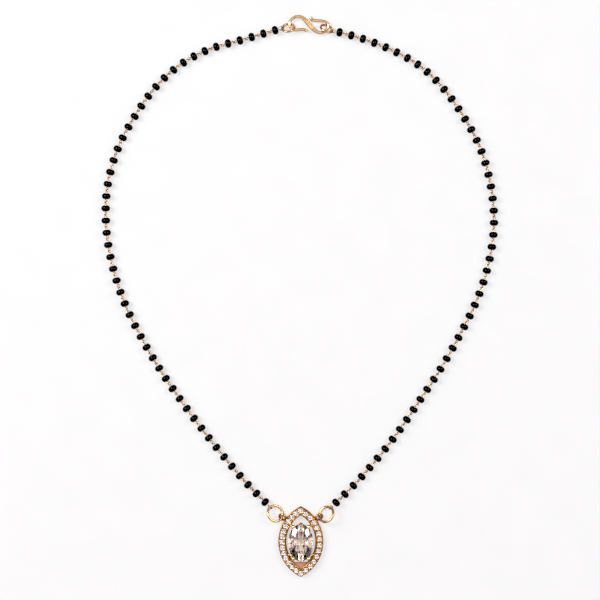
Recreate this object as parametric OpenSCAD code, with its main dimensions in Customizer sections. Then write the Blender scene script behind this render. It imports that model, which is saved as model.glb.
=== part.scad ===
// Mangalsutra: two strands of black beads on eye pins, a marquise halo pendant with an oval
// centre stone, two jump rings and an S hook. It lies open on a flat surface at z = 0,
// with the pendant towards -Y and the hook towards +Y.

/* [Beads] */
// Diameter of a bead
bead_d = 3.0; // [2.8:0.1:3.4]
// Length of a bead along its pin
bead_len = 2.04; // [1.8:0.02:2.1]
// Diameter of the hole through a bead
bead_bore_d = 0.54; // [0.5:0.02:0.7]

/* [Eye pins] */
// Distance from one bead to the next along the strand
link_pitch = 4.13; // [4.05:0.01:4.6]
// Wire diameter of the pins
pin_wire_d = 0.32; // [0.26:0.02:0.34]
// Inner diameter of the eyes between two beads
eye_id = 0.68; // [0.66:0.01:0.72]
// Inner diameter of the eyes at the ends of a strand
end_eye_id = 1.2; // [1.16:0.02:1.3]
// Distance from a ring's wire to the middle of the first bead
end_reach = 2.5; // [2.4:0.05:3.0]
// Clearance between two pieces of metal that hang in each other
link_gap = 0.11; // [0.08:0.01:0.12]

/* [Pendant] */
// Overall width of the pendant
pendant_w = 15.3; // [15:0.1:17]
// Overall height of the pendant
pendant_h = 23.9; // [23.4:0.1:26]
// Width of the halo rail
rail_w = 2.4; // [2.2:0.05:2.6]
// Thickness of the plain base of the rail
base_t = 1.3; // [1:0.05:1.5]
// Height of the stone cups above the back
cup_top = 2.05; // [1.9:0.05:2.4]
// Thickness of a stone cup's wall
cup_wall = 0.15; // [0.12:0.01:0.2]
// Width of the raised lip on the inner edge of the rail
lip_w = 0.35; // [0.3:0.01:0.4]
// Height of the lip above the cups
lip_rise = 0.12; // [0.05:0.01:0.3]
// Diameter of the small beads that hold the halo stones
grain_d = 0.6; // [0.5:0.02:0.64]

/* [Stones] */
// Diameter of a halo stone
halo_d = 1.6; // [1.4:0.05:1.65]
// Number of halo stones between the tips on the left side
halo_left = 13; // [10:1:13]
// Number of halo stones between the tips on the right side
halo_right = 12; // [10:1:13]
// Width of the centre stone
centre_w = 8.5; // [8:0.1:8.8]
// Length of the centre stone
centre_l = 12.6; // [12:0.1:13]
// Height of the centre stone's girdle above the back
centre_z = 3.6; // [3.6:0.1:4.2]
// Depth of the centre stone below its girdle
centre_depth = 3.2; // [2.8:0.1:3.3]
// Height of the centre stone above its girdle
centre_crown = 1.15; // [0.9:0.05:1.4]
// Clearance between a stone and its metal
stone_gap = 0.05; // [0.04:0.01:0.07]

/* [Basket] */
// Wire diameter of a prong
prong_wire_d = 0.76; // [0.7:0.02:0.84]
// Diameter of the ball on a prong
prong_ball_d = 1.14; // [1:0.02:1.3]
// Diameter of the arms between the prongs and the rail
arm_d = 0.84; // [0.7:0.02:0.95]
// Width of the gallery bands under the stone
band_w = 0.6; // [0.5:0.05:0.7]
// Thickness of the plate in the lower point of the rail
plate_t = 0.6; // [0.4:0.05:0.8]

/* [Rings] */
// Outer diameter of the jump rings
jump_d = 6.1; // [5.9:0.1:6.6]
// Wire diameter of the jump rings
jump_wire_d = 0.7; // [0.6:0.05:0.75]
// Outer diameter of the rings at the hook
clasp_ring_d = 4.8; // [4.7:0.1:5.2]
// Wire diameter of the rings at the hook
clasp_wire_d = 0.6; // [0.5:0.05:0.65]
// Outer diameter of the pendant's ears
ear_d = 2.96; // [2.9:0.02:3.2]
// Wire diameter of the pendant's ears
ear_wire_d = 0.66; // [0.6:0.02:0.7]

/* [Hook] */
// Wire diameter of the hook
hook_wire_d = 0.94; // [0.8:0.02:1]
// Width of the flattened middle of the hook
hook_mid_w = 1.5; // [1.2:0.05:1.6]
// Width of the flared tips of the hook
hook_tip_w = 1.2; // [1:0.05:1.3]

/* [Hidden] */
$fn = 48;
wire_fn = 36;
halo_total = halo_left + halo_right + 2;
function two_digits(i) = i < 10 ? str("0", i) : str(i);
halo_names = [for (i = [1 : halo_total]) str("halo_stone_", two_digits(i))];

// The strands' routes: points on the middle line of each strand, from pendant to hook
left_route = [
    [-17.4, -64.5], [-25.4, -55.2], [-33.0, -45.6], [-40.4, -35.6], [-47.5, -25.1],
    [-54.0, -14.0], [-59.6, -2.4], [-63.7, 10.2], [-65.8, 23.2], [-65.5, 36.4],
    [-62.1, 49.4], [-56.3, 60.6], [-49.2, 70.7], [-40.7, 78.5], [-30.5, 83.9],
    [-19.8, 86.9]];
right_route = [
    [17.8, -65.1], [26.0, -55.9], [33.7, -46.1], [40.9, -35.5], [48.0, -24.8],
    [54.5, -13.3], [60.3, -1.5], [64.3, 11.0], [66.1, 23.8], [65.1, 36.9],
    [61.7, 49.5], [56.1, 60.3], [49.1, 70.2], [41.2, 77.9], [31.2, 83.6],
    [20.4, 87.7]];

// The hook's bend, seen from above, from its middle
hook_route = [
    [-0.6, -2.6], [-1.2, -1.95], [-3.0, -1.9], [-4.8, -2.05], [-6.0, -1.4],
    [-6.55, -0.1], [-6.15, 1.15], [-5.1, 2.15], [-3.7, 2.6], [-2.3, 2.25],
    [-1.15, 1.25], [0, 0], [1.3, -1.55], [2.7, -2.6], [4.0, -2.95],
    [5.2, -2.65], [6.3, -1.6], [6.6, -0.35], [5.9, 0.65], [4.8, 1.0],
    [2.9, 1.2], [1.2, 1.35], [0.6, 2.4]];

// Moves the laid out necklace so that the origin lies under the middle of its box
origin_shift = [-0.06, 0.08, 0];

pendant_at = [0.4, -83.7];
hook_at = [3.1, 92.4];
bead_z = bead_d / 2;

// Shares and small sizes of the beads and pins; a stem ends inside the wire of its eyes
route_steps = 8;
stem_ease = 0.02;
eye_r = (eye_id + pin_wire_d) / 2;
end_eye_r = (end_eye_id + pin_wire_d) / 2;
stem_d = pin_wire_d - stem_ease;
half_link = (2 * eye_r - pin_wire_d - link_gap) / 2;
eye_roll = 45;
bead_flat = 0.04;

// The pendant's rail: its arcs, its stones' seats and the cups and beads round them
outer_r = (pow(pendant_w / 2, 2) + pow(pendant_h / 2, 2)) / pendant_w;
arc_off = outer_r - pendant_w / 2;
inner_r = outer_r - rail_w;
stone_r = outer_r - rail_w / 2;
stone_half = acos(arc_off / stone_r);
cup_r = halo_d / 2 + stone_gap + cup_wall;
girdle_share = 0.03;
halo_depth_share = 0.43;
halo_depth = halo_depth_share * halo_d;
halo_crown_share = 0.16;
halo_crown = halo_crown_share * halo_d;
seat_drop = 0.07;
halo_z = cup_top - seat_drop;
culet_hole_r = halo_d / 4;
grain_off = halo_d / 2;
grain_post_share = 0.9;
arc_fn = 180;
cut_past = 1;
weld = 0.2;

// Basket: the prongs stand at this angle of the oval, mirrored to its four quarters
prong_at = 55;
prong_out = 0.3;
prong_up = 0.3;
prong_foot_share = 0.62;
prong_foot_z = 0.3;
low_band_share = 0.4;
low_band_tip = low_band_share * centre_l;
mid_band_past = 0.1;
mid_band_tip = centre_l / 2 + mid_band_past;
mid_band_z = 1.5;
arm_from_z = 2.6;
arm_to_z = 1.5;
arm_up_angle = 33;
arm_low_angle = 23;
plate_z = 0.5;
plate_clear = 0.6;
plate_edge = centre_l / 2 + plate_clear;
crown_slope = 0.65;
depth_slope = 0.7;
notch_reach = 2.5;

// Ears and jump rings, for the left and the right side
sides = [-1, 1];
ear_angle = 35.6;
ear_z = 1.2;
ear_lean = 40;
ear_slack = 0.15;
ear_weld = 0.25;
jump_r = (jump_d - jump_wire_d) / 2;
jump_turn = [132, 50];
jump_ear_at = [-156, 146];
jump_pin_at = [-5, 8];
jump_floor_gap = [0.05, 0.085];
jump_tilt = [for (k = [0, 1])
    -sides[k] * asin((ear_z - jump_wire_d / 2 - jump_floor_gap[k])
        / (jump_r * (1 - abs(sin(jump_ear_at[k])))))];

// Rings at the hook, for the left and the right side
clasp_r = (clasp_ring_d - clasp_wire_d) / 2;
clasp_off = [[-6.95, -1.4], [6.05, -1.7]];
clasp_turn = [7, -24];
clasp_tilt = [-45, -52];
clasp_pin_at = [172, 12];
floor_gap = 0.02;
hook_clear = 0.23;
hook_z = clasp_wire_d + hook_wire_d / 2 + hook_clear;
hook_steps = 3;
hook_sides = 12;
hook_mid_reach = 0.09;
hook_mid_flat = 0.12;
hook_tip_reach = 0.03;
hook_end_share = 0.7;

bead_color = "#17161b";
gold = "#d9a066";
crystal = "#e9edf2";

function slot(side) = (side + 1) / 2;
function flat3(p, z) = [p[0], p[1], z];
function unit(v) = v / norm(v);

// A smooth curve through a list of points, with so many steps for each stretch
function smooth(points, steps) = let (
    n = len(points),
    p = concat([2 * points[0] - points[1]], points, [2 * points[n - 1] - points[n - 2]]))
    concat(
        [for (i = [0 : n - 2], k = [0 : steps - 1])
            let (t = k / steps, a = p[i], b = p[i + 1], c = p[i + 2], d = p[i + 3])
            (2 * b + (c - a) * t + (2 * a - 5 * b + 4 * c - d) * t * t
                + (3 * b - a - 3 * c + d) * t * t * t) / 2],
        [points[n - 1]]);

// The length of a line of points up to each of them, and the point at a length
function lengths(line) = [
    for (i = 0, s = 0; i < len(line);
         s = s + (i + 1 < len(line) ? norm(line[i + 1] - line[i]) : 0), i = i + 1) s];
function column(marks, line, k) = [for (i = [0 : len(line) - 1]) [marks[i], line[i][k]]];

// A tilted ring: its tilt axis lies at angle turn, and th runs round the ring from there
function ring_axis(turn) = [cos(turn), sin(turn), 0];
function ring_rise(turn, tilt) = [-sin(turn) * cos(tilt), cos(turn) * cos(tilt), sin(tilt)];
function ring_arm(turn, tilt, th) = cos(th) * ring_axis(turn) + sin(th) * ring_rise(turn, tilt);
function ring_run(turn, tilt, th) = cos(th) * ring_rise(turn, tilt) - sin(th) * ring_axis(turn);

// Ears on the pendant's shoulders, and the jump rings through them
function ear_out(side) = [side * cos(ear_angle), sin(ear_angle), 0];
function ear_centre(side) = [-side * arc_off, 0, ear_z]
    + (outer_r + ear_d / 2 - ear_weld) * ear_out(side);
function jump_centre(side) = let (k = slot(side))
    flat3(pendant_at, 0) + ear_centre(side) + ear_slack * ear_out(side)
    - jump_r * ring_arm(jump_turn[k], jump_tilt[k], jump_ear_at[k]);
function jump_hold(side) = let (k = slot(side))
    jump_centre(side) + jump_r * ring_arm(jump_turn[k], jump_tilt[k], jump_pin_at[k]);
function jump_run(side) = let (k = slot(side))
    ring_run(jump_turn[k], jump_tilt[k], jump_pin_at[k]);

// The rings at the hook lean on the floor
function clasp_centre(side) = let (k = slot(side))
    flat3(hook_at + clasp_off[k],
        clasp_r * abs(sin(clasp_tilt[k])) + clasp_wire_d / 2 + floor_gap);
function clasp_hold(side) = let (k = slot(side))
    clasp_centre(side) + clasp_r * ring_arm(clasp_turn[k], clasp_tilt[k], clasp_pin_at[k]);
function clasp_run(side) = let (k = slot(side))
    ring_run(clasp_turn[k], clasp_tilt[k], clasp_pin_at[k]);

// The joints of a strand: where its pins hang in the rings and in each other
function strand_joints(side) = let (
    from = jump_hold(side),
    to = clasp_hold(side),
    route = side < 0 ? left_route : right_route,
    line = smooth(concat([[from[0], from[1]]], route, [[to[0], to[1]]]), route_steps),
    marks = lengths(line),
    xs = column(marks, line, 0),
    ys = column(marks, line, 1),
    run = marks[len(marks) - 1] - 2 * end_reach,
    beads = round(run / link_pitch) + 1,
    pitch = run / (beads - 1))
    concat([from],
        [for (i = [1 : beads - 1]) let (s = end_reach + (i - 0.5) * pitch)
            [lookup(s, xs), lookup(s, ys), bead_z]],
        [to]);

// The turn about a pin that sets an end eye square to the wire it holds
function hold_roll(from, to, run) = let (
    az = atan2(to[1] - from[1], to[0] - from[0]))
    atan2(sin(az) * run[0] - cos(az) * run[1], run[2]);

module along(from, to) {
    v = to - from;
    translate(from) rotate([0, -asin(v[2] / norm(v)), atan2(v[1], v[0])]) children();
}

module wire_ring(r, d) {
    rotate_extrude($fn = wire_fn) translate([r, 0]) circle(d = d, $fn = wire_fn);
}

module tilted_ring(centre, turn, tilt, r, d) {
    translate(centre) rotate([0, 0, turn]) rotate([tilt, 0, 0]) wire_ring(r, d);
}

module bead() {
    edge_r = bead_len / 2 + bead_flat;
    rotate([0, 90, 0]) rotate_extrude() intersection() {
        translate([bead_bore_d / 2, -bead_len / 2]) square([bead_d, bead_len]);
        translate([bead_d / 2 - edge_r, 0]) circle(r = edge_r);
    }
}

// A pin from one joint to the next; each eye has its place, its radius and its roll
module eye_pin(from, to, first, last) {
    reach = norm(to - from);
    stem_from = first[0] + first[1];
    along(from, to) union() {
        translate([first[0], 0, 0]) rotate([first[2], 0, 0]) wire_ring(first[1], pin_wire_d);
        translate([reach - last[0], 0, 0]) rotate([last[2], 0, 0]) wire_ring(last[1], pin_wire_d);
        translate([stem_from, 0, 0]) rotate([0, 90, 0])
            cylinder(d = stem_d, h = reach - last[0] - last[1] - stem_from, $fn = wire_fn);
    }
}

module strand_beads(side) {
    joints = strand_joints(side);
    n = len(joints) - 1;
    half_pitch = norm(joints[2] - joints[1]) / 2;
    for (i = [1 : n]) {
        reach = norm(joints[i] - joints[i - 1]);
        at = i == 1 ? reach - half_pitch : i == n ? half_pitch : reach / 2;
        along(joints[i - 1], joints[i]) translate([at, 0, 0]) bead();
    }
}

module strand_pins(side) {
    joints = strand_joints(side);
    n = len(joints) - 1;
    for (i = [1 : n]) {
        from = joints[i - 1];
        to = joints[i];
        first = i == 1
            ? [end_eye_id / 2 - jump_wire_d / 2 - link_gap, end_eye_r,
               hold_roll(from, to, jump_run(side))]
            : [half_link, eye_r, eye_roll];
        last = i == n
            ? [end_eye_id / 2 - clasp_wire_d / 2 - link_gap, end_eye_r,
               hold_roll(from, to, clasp_run(side))]
            : [half_link, eye_r, -eye_roll];
        eye_pin(from, to, first, last);
    }
}

module black_beads_left() {
    color(bead_color) translate(origin_shift) strand_beads(-1);
}

module black_beads_right() {
    color(bead_color) translate(origin_shift) strand_beads(1);
}

module bead_pins_left() {
    color(gold) translate(origin_shift) strand_pins(-1);
}

module bead_pins_right() {
    color(gold) translate(origin_shift) strand_pins(1);
}

// The pointed oval between two arcs, whose centres lie off to each side
module pointed_oval(off, r) {
    intersection() {
        translate([-off, 0]) circle(r = r, $fn = arc_fn);
        translate([off, 0]) circle(r = r, $fn = arc_fn);
    }
}

module oval_band(off, low_r, high_r) {
    difference() {
        pointed_oval(off, high_r);
        pointed_oval(off, low_r);
    }
}

// A point of the halo: side, share of the way from the upper to the lower tip, and radius
function halo_point(side, share, r) = let (th = stone_half * (1 - 2 * share))
    [side * (r * cos(th) - arc_off), r * sin(th)];

// The halo stones, clockwise from the upper tip
halo_spots = concat(
    [for (i = [0 : halo_right + 1]) halo_point(1, i / (halo_right + 1), stone_r)],
    [for (i = [halo_left : -1 : 1]) halo_point(-1, i / (halo_left + 1), stone_r)]);
grain_shares = [
    for (side = sides) let (n = (side < 0 ? halo_left : halo_right) + 1)
        for (i = [1 : n]) [side, (i - 0.5) / n]];
grain_spots = [
    for (g = grain_shares, off = [-grain_off, grain_off]) halo_point(g[0], g[1], stone_r + off)];

module halo_rail() {
    wall_r = halo_d / 2 - stone_gap;
    linear_extrude(base_t) oval_band(arc_off, inner_r, outer_r);
    translate([0, 0, base_t - weld]) linear_extrude(cup_top - base_t + weld)
        oval_band(arc_off, inner_r, stone_r + wall_r);
    translate([0, 0, base_t - weld]) linear_extrude(cup_top + lip_rise - base_t + weld)
        oval_band(arc_off, inner_r, inner_r + lip_w);
    for (p = halo_spots)
        translate([p[0], p[1], base_t - weld]) cylinder(r = cup_r, h = cup_top - base_t + weld);
    for (p = grain_spots) {
        translate([p[0], p[1], base_t - weld])
            cylinder(d = grain_post_share * grain_d, h = cup_top - base_t + weld, $fn = wire_fn);
        translate([p[0], p[1], cup_top]) sphere(d = grain_d, $fn = wire_fn);
    }
}

// What is drilled away for one halo stone: a straight seat, a cone and a small back hole
module halo_seat() {
    seat_r = halo_d / 2 + stone_gap;
    cone_h = (seat_r - culet_hole_r) * halo_depth / (halo_d / 2);
    rotate_extrude() polygon([
        [0, -cut_past], [culet_hole_r, -cut_past], [culet_hole_r, halo_z - cone_h],
        [seat_r, halo_z], [seat_r, cup_top + cut_past], [0, cup_top + cut_past]]);
}

// The prongs, from a point of the lower band to a ball beside the stone's girdle
girdle_at = [centre_w / 2 * cos(prong_at), centre_l / 2 * sin(prong_at)];
girdle_out = unit([cos(prong_at) / centre_w, sin(prong_at) / centre_l]);
prong_top = flat3(girdle_at + prong_out * girdle_out, centre_z + prong_up);
prong_foot = flat3(prong_foot_share * girdle_at, prong_foot_z);
function prong_point(z) = prong_foot
    + (prong_top - prong_foot) * (z - prong_foot_z) / (prong_top[2] - prong_foot_z);
function band_off(tip, p) = (tip * tip - p[0] * p[0] - p[1] * p[1]) / (2 * p[0]);

module round_bar(from, to, d) {
    along(from, to) rotate([0, 90, 0]) cylinder(d = d, h = norm(to - from), $fn = wire_fn);
}

// Room for the stone's edge in a prong: its girdle, crown and depth with the clearance
module stone_notch() {
    in_reach = notch_reach + stone_gap;
    girdle_t = girdle_share * centre_w;
    translate(flat3(girdle_at, centre_z)) rotate([90, 0, atan2(girdle_out[1], girdle_out[0])])
        translate([0, 0, -notch_reach]) linear_extrude(2 * notch_reach) polygon([
            [stone_gap, -stone_gap], [stone_gap, girdle_t + stone_gap],
            [-notch_reach, girdle_t + stone_gap + crown_slope * in_reach],
            [-notch_reach, -stone_gap - depth_slope * in_reach]]);
}

module prong(low) {
    arm_angle = low ? arm_low_angle : arm_up_angle;
    arm_r = inner_r + lip_w;
    arm_to = [arm_r * cos(arm_angle) - arc_off, arm_r * sin(arm_angle), arm_to_z];
    difference() {
        union() {
            round_bar(prong_foot, prong_top, prong_wire_d);
            translate(prong_top) sphere(d = prong_ball_d);
            round_bar(prong_point(arm_from_z), arm_to, arm_d);
        }
        stone_notch();
    }
}

module gallery_band(tip, z, t) {
    p = prong_point(z + t / 2);
    off = band_off(tip, p);
    r = norm([off, tip]);
    translate([0, 0, z]) linear_extrude(t) oval_band(off, r - band_w / 2, r + band_w / 2);
}

module basket() {
    for (side = [0, 1], low = [0, 1])
        mirror([side, 0, 0]) mirror([0, low, 0]) prong(low == 1);
    gallery_band(low_band_tip, 0, band_w);
    gallery_band(mid_band_tip, mid_band_z, band_w);
    translate([0, 0, plate_z]) linear_extrude(plate_t) intersection() {
        pointed_oval(arc_off, inner_r + weld);
        translate([-pendant_w / 2, -pendant_h]) square([pendant_w, pendant_h - plate_edge]);
    }
}

module ears() {
    for (side = sides)
        translate(ear_centre(side)) rotate([0, 0, atan2(sin(ear_angle), side * cos(ear_angle))])
            rotate([side * ear_lean, 0, 0]) wire_ring((ear_d - ear_wire_d) / 2, ear_wire_d);
}

module pendant_frame() {
    color(gold) translate(origin_shift + flat3(pendant_at, 0)) difference() {
        union() {
            halo_rail();
            basket();
            ears();
        }
        for (p = halo_spots) translate(flat3(p, 0)) halo_seat();
    }
}

// A brilliant cut: table, 8 star facets, 8 kites, 16 upper and 16 lower girdle facets
// and 8 pavilion kites. It stands with its girdle's lower edge at z = 0.
table_share = 0.56;
star_share = 0.78;
lower_share = 0.22;
star_rise = (1 - star_share * cos(22.5)) / (1 - table_share);
lower_drop = 1 - lower_share * cos(22.5);
module brilliant(w, l, crown, depth) {
    girdle_t = girdle_share * w;
    table = [for (i = [0 : 7]) flat3(table_share * [cos(45 * i), sin(45 * i)], girdle_t + crown)];
    stars = [for (i = [0 : 7]) let (a = 45 * i + 22.5)
        flat3(star_share * [cos(a), sin(a)], girdle_t + crown * star_rise)];
    upper = [for (i = [0 : 15]) [cos(22.5 * i), sin(22.5 * i), girdle_t]];
    lower = [for (i = [0 : 15]) [cos(22.5 * i), sin(22.5 * i), 0]];
    mains = [for (i = [0 : 7]) let (a = 45 * i + 22.5)
        flat3(lower_share * [cos(a), sin(a)], -depth * lower_drop)];
    points = concat(table, stars, upper, lower, mains, [[0, 0, -depth]]);
    faces = concat(
        [for (i = [1 : 6]) [0, i + 1, i]],
        [for (i = [0 : 7]) let (j = (i + 1) % 8) [i, j, 8 + i]],
        [for (i = [0 : 7]) let (j = (i + 7) % 8) each
            [[i, 8 + i, 16 + 2 * i], [i, 16 + 2 * i, 8 + j]]],
        [for (i = [0 : 7]) let (j = (2 * i + 2) % 16) each
            [[8 + i, 17 + 2 * i, 16 + 2 * i], [8 + i, 16 + j, 17 + 2 * i]]],
        [for (i = [0 : 15]) let (j = (i + 1) % 16) each
            [[16 + i, 16 + j, 32 + j], [16 + i, 32 + j, 32 + i]]],
        [for (i = [0 : 7]) let (j = (2 * i + 2) % 16) each
            [[48 + i, 32 + 2 * i, 33 + 2 * i], [48 + i, 33 + 2 * i, 32 + j]]],
        [for (i = [0 : 7]) let (j = (i + 7) % 8) each
            [[56, 32 + 2 * i, 48 + i], [56, 48 + j, 32 + 2 * i]]]);
    polyhedron([for (p = points) [p[0] * w / 2, p[1] * l / 2, p[2]]], faces);
}

module centre_stone() {
    color(crystal) translate(origin_shift + flat3(pendant_at, centre_z))
        brilliant(centre_w, centre_l, centre_crown, centre_depth);
}

module halo_stone(i) {
    color(crystal) translate(origin_shift + flat3(pendant_at, halo_z) + flat3(halo_spots[i - 1], 0))
        brilliant(halo_d, halo_d, halo_crown, halo_depth);
}

module jump_ring(side) {
    k = slot(side);
    color(gold) translate(origin_shift)
        tilted_ring(jump_centre(side), jump_turn[k], jump_tilt[k], jump_r, jump_wire_d);
}

module clasp_ring(side) {
    k = slot(side);
    color(gold) translate(origin_shift)
        tilted_ring(clasp_centre(side), clasp_turn[k], clasp_tilt[k], clasp_r, clasp_wire_d);
}

// The hook's wire: wide and a little flat in the middle, flared at the tips
function bump(u, at, reach) = exp(-pow((u - at) / reach, 2));
function hook_half_w(u) = hook_wire_d / 2
    + (hook_mid_w - hook_wire_d) / 2 * bump(u, 0.5, hook_mid_reach)
    + (hook_tip_w - hook_wire_d) / 2 * (bump(u, 0, hook_tip_reach) + bump(u, 1, hook_tip_reach));
function hook_half_t(u) = hook_wire_d / 2 * (1 - hook_mid_flat * bump(u, 0.5, hook_mid_reach));

module s_hook() {
    line = smooth(hook_route, hook_steps);
    n = len(line);
    m = hook_sides;
    points = [
        for (i = [0 : n - 1])
            let (run = unit(line[min(i + 1, n - 1)] - line[max(i - 1, 0)]), u = i / (n - 1),
                 end = (i == 0 || i == n - 1) ? hook_end_share : 1)
            for (j = [0 : m - 1]) let (a = 360 * j / m)
                flat3(line[i] + end * hook_half_w(u) * cos(a) * [-run[1], run[0]],
                    end * hook_half_t(u) * sin(a))];
    faces = concat(
        [[for (j = [0 : m - 1]) j]],
        [for (i = [0 : n - 2], j = [0 : m - 1]) let (k = (j + 1) % m) each
            [[i * m + j, (i + 1) * m + j, (i + 1) * m + k],
             [i * m + j, (i + 1) * m + k, i * m + k]]],
        [[for (j = [0 : m - 1]) n * m - 1 - j]]);
    color(gold) translate(origin_shift + flat3(hook_at, hook_z)) polyhedron(points, faces);
}

black_beads_left();
black_beads_right();
bead_pins_left();
bead_pins_right();
pendant_frame();
centre_stone();
for (i = [1 : halo_total])
    halo_stone(i);
jump_ring(-1);  // jump_ring_left
jump_ring(1);  // jump_ring_right
clasp_ring(-1);  // clasp_ring_left
clasp_ring(1);  // clasp_ring_right
s_hook();
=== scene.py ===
"""A mangalsutra lying open on a white table, seen from straight above.

Two strands of black glass beads on gold eye pins, a marquise halo pendant with an oval
stone, two jump rings, two clasp rings and an S hook. Sizes are in millimetres until a
mesh is made.
"""
import logging
import math
from dataclasses import dataclass
from enum import Enum, IntEnum
from typing import Any, ClassVar, Sequence

import bpy
import numpy as np
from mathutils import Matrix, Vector


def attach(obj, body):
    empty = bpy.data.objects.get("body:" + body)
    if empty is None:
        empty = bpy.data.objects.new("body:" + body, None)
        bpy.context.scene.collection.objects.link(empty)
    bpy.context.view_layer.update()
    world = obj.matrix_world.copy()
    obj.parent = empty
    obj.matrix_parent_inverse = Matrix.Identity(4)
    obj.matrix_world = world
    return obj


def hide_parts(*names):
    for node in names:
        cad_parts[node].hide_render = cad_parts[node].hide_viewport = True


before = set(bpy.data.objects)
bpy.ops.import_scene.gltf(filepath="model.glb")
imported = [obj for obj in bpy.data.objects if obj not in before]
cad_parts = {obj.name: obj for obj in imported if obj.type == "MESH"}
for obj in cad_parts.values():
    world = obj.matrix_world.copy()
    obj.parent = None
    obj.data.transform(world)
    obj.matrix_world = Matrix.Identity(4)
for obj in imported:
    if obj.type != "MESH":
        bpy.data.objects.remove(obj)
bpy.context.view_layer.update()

Array = np.ndarray
Colour = tuple[float, float, float, float]
Settings = dict[str, Any]
Links = dict[str | int, bpy.types.NodeSocket]

MM = 0.001
SHARP_ANGLE = math.radians(50)
# Corners in one cell of a thousandth of a millimetre are one corner, and a key step is
# more cells than the necklace is long.
CELLS_PER_MM = 1000
KEY_STEP = 1_000_000
UP = np.array([0.0, 0.0, 1.0])
RIGHT = np.array([1.0, 0.0, 0.0])
log = logging.getLogger("mangalsutra")


# Numbers, vectors and meshes

class Ends(Enum):
    """How the first and the last ring of a skin are finished."""

    JOINED = "the last ring meets the first"
    FLAT = "each end is one flat face"
    POINTED = "each end closes on one point"


def unit(vectors: Array) -> Array:
    """Gives vectors, along the last axis, the length one."""
    return vectors / np.linalg.norm(vectors, axis=-1, keepdims=True)


def square_to(vectors: Array, axis: Array) -> Array:
    """Takes from vectors what lies along an axis of length one."""
    return vectors - np.sum(vectors * axis, axis=-1, keepdims=True) * axis


def main_axes(offsets: Array) -> Array:
    """Gives the three main directions of points round an origin, the longest first."""
    return np.linalg.svd(offsets, full_matrices=False)[2]


def span(values: Array) -> tuple[Array, Array]:
    """Gives the middle of the range that numbers or points fill, and half its width."""
    low, high = values.min(axis=0), values.max(axis=0)
    return (high + low) / 2, (high - low) / 2


def round_points(r: float, a: Array) -> Array:
    """Gives the points (r cos a, r sin a) of a circle."""
    return np.stack([r * np.cos(a), r * np.sin(a)], axis=-1)


def on_arcs(off: float, r: float | Array, a: float | Array, side: float | Array = 1) -> Array:
    """Places points on two mirrored arcs: x = side (r cos a - off), y = r sin a.

    Args:
        off: The distance of the arcs' centres from the middle.
        r: The arcs' radius.
        a: The angle of each point from the x axis.
        side: 1 for the arc on the right and -1 for the one on the left.

    Returns:
        The points' x and y.
    """
    return np.stack([side * (r * np.cos(a) - off), r * np.sin(a)], axis=-1)


def with_z(flat: Array, z: float | Array) -> Array:
    """Adds a height to points that have x and y."""
    height = np.broadcast_to(z, flat.shape[:-1])[..., None]
    return np.concatenate([flat, height], axis=-1)


def smooth_line(points: Array, steps: int) -> Array:
    """Runs a Catmull-Rom curve through points.

    Between b and c, with a before and d after them, the point at share t is half of
    2b + (c - a) t + (2a - 5b + 4c - d) t squared + (3b - a - 3c + d) t cubed.

    Args:
        points: The points, one row each.
        steps: Steps on each stretch between two points.

    Returns:
        The curve's points.
    """
    ends = np.stack([2 * points[0] - points[1], 2 * points[-1] - points[-2]])
    p = np.concatenate([ends[:1], points, ends[1:]])
    t = (np.arange(steps) / steps)[None, :, None]
    a, b, c, d = (p[k:len(p) - 3 + k, None] for k in range(4))
    line = (2 * b + (c - a) * t + (2 * a - 5 * b + 4 * c - d) * t ** 2
            + (3 * b - a - 3 * c + d) * t ** 3) / 2
    return np.concatenate([line.reshape(-1, points.shape[1]), points[-1:]])


def placed(name: str, data: bpy.types.ID) -> bpy.types.Object:
    """Makes an object and puts it in the scene.

    Args:
        name: The object's name.
        data: Its mesh, light or camera.

    Returns:
        The object.
    """
    made = bpy.data.objects.new(name, data)
    bpy.context.scene.collection.objects.link(made)
    return made


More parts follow.
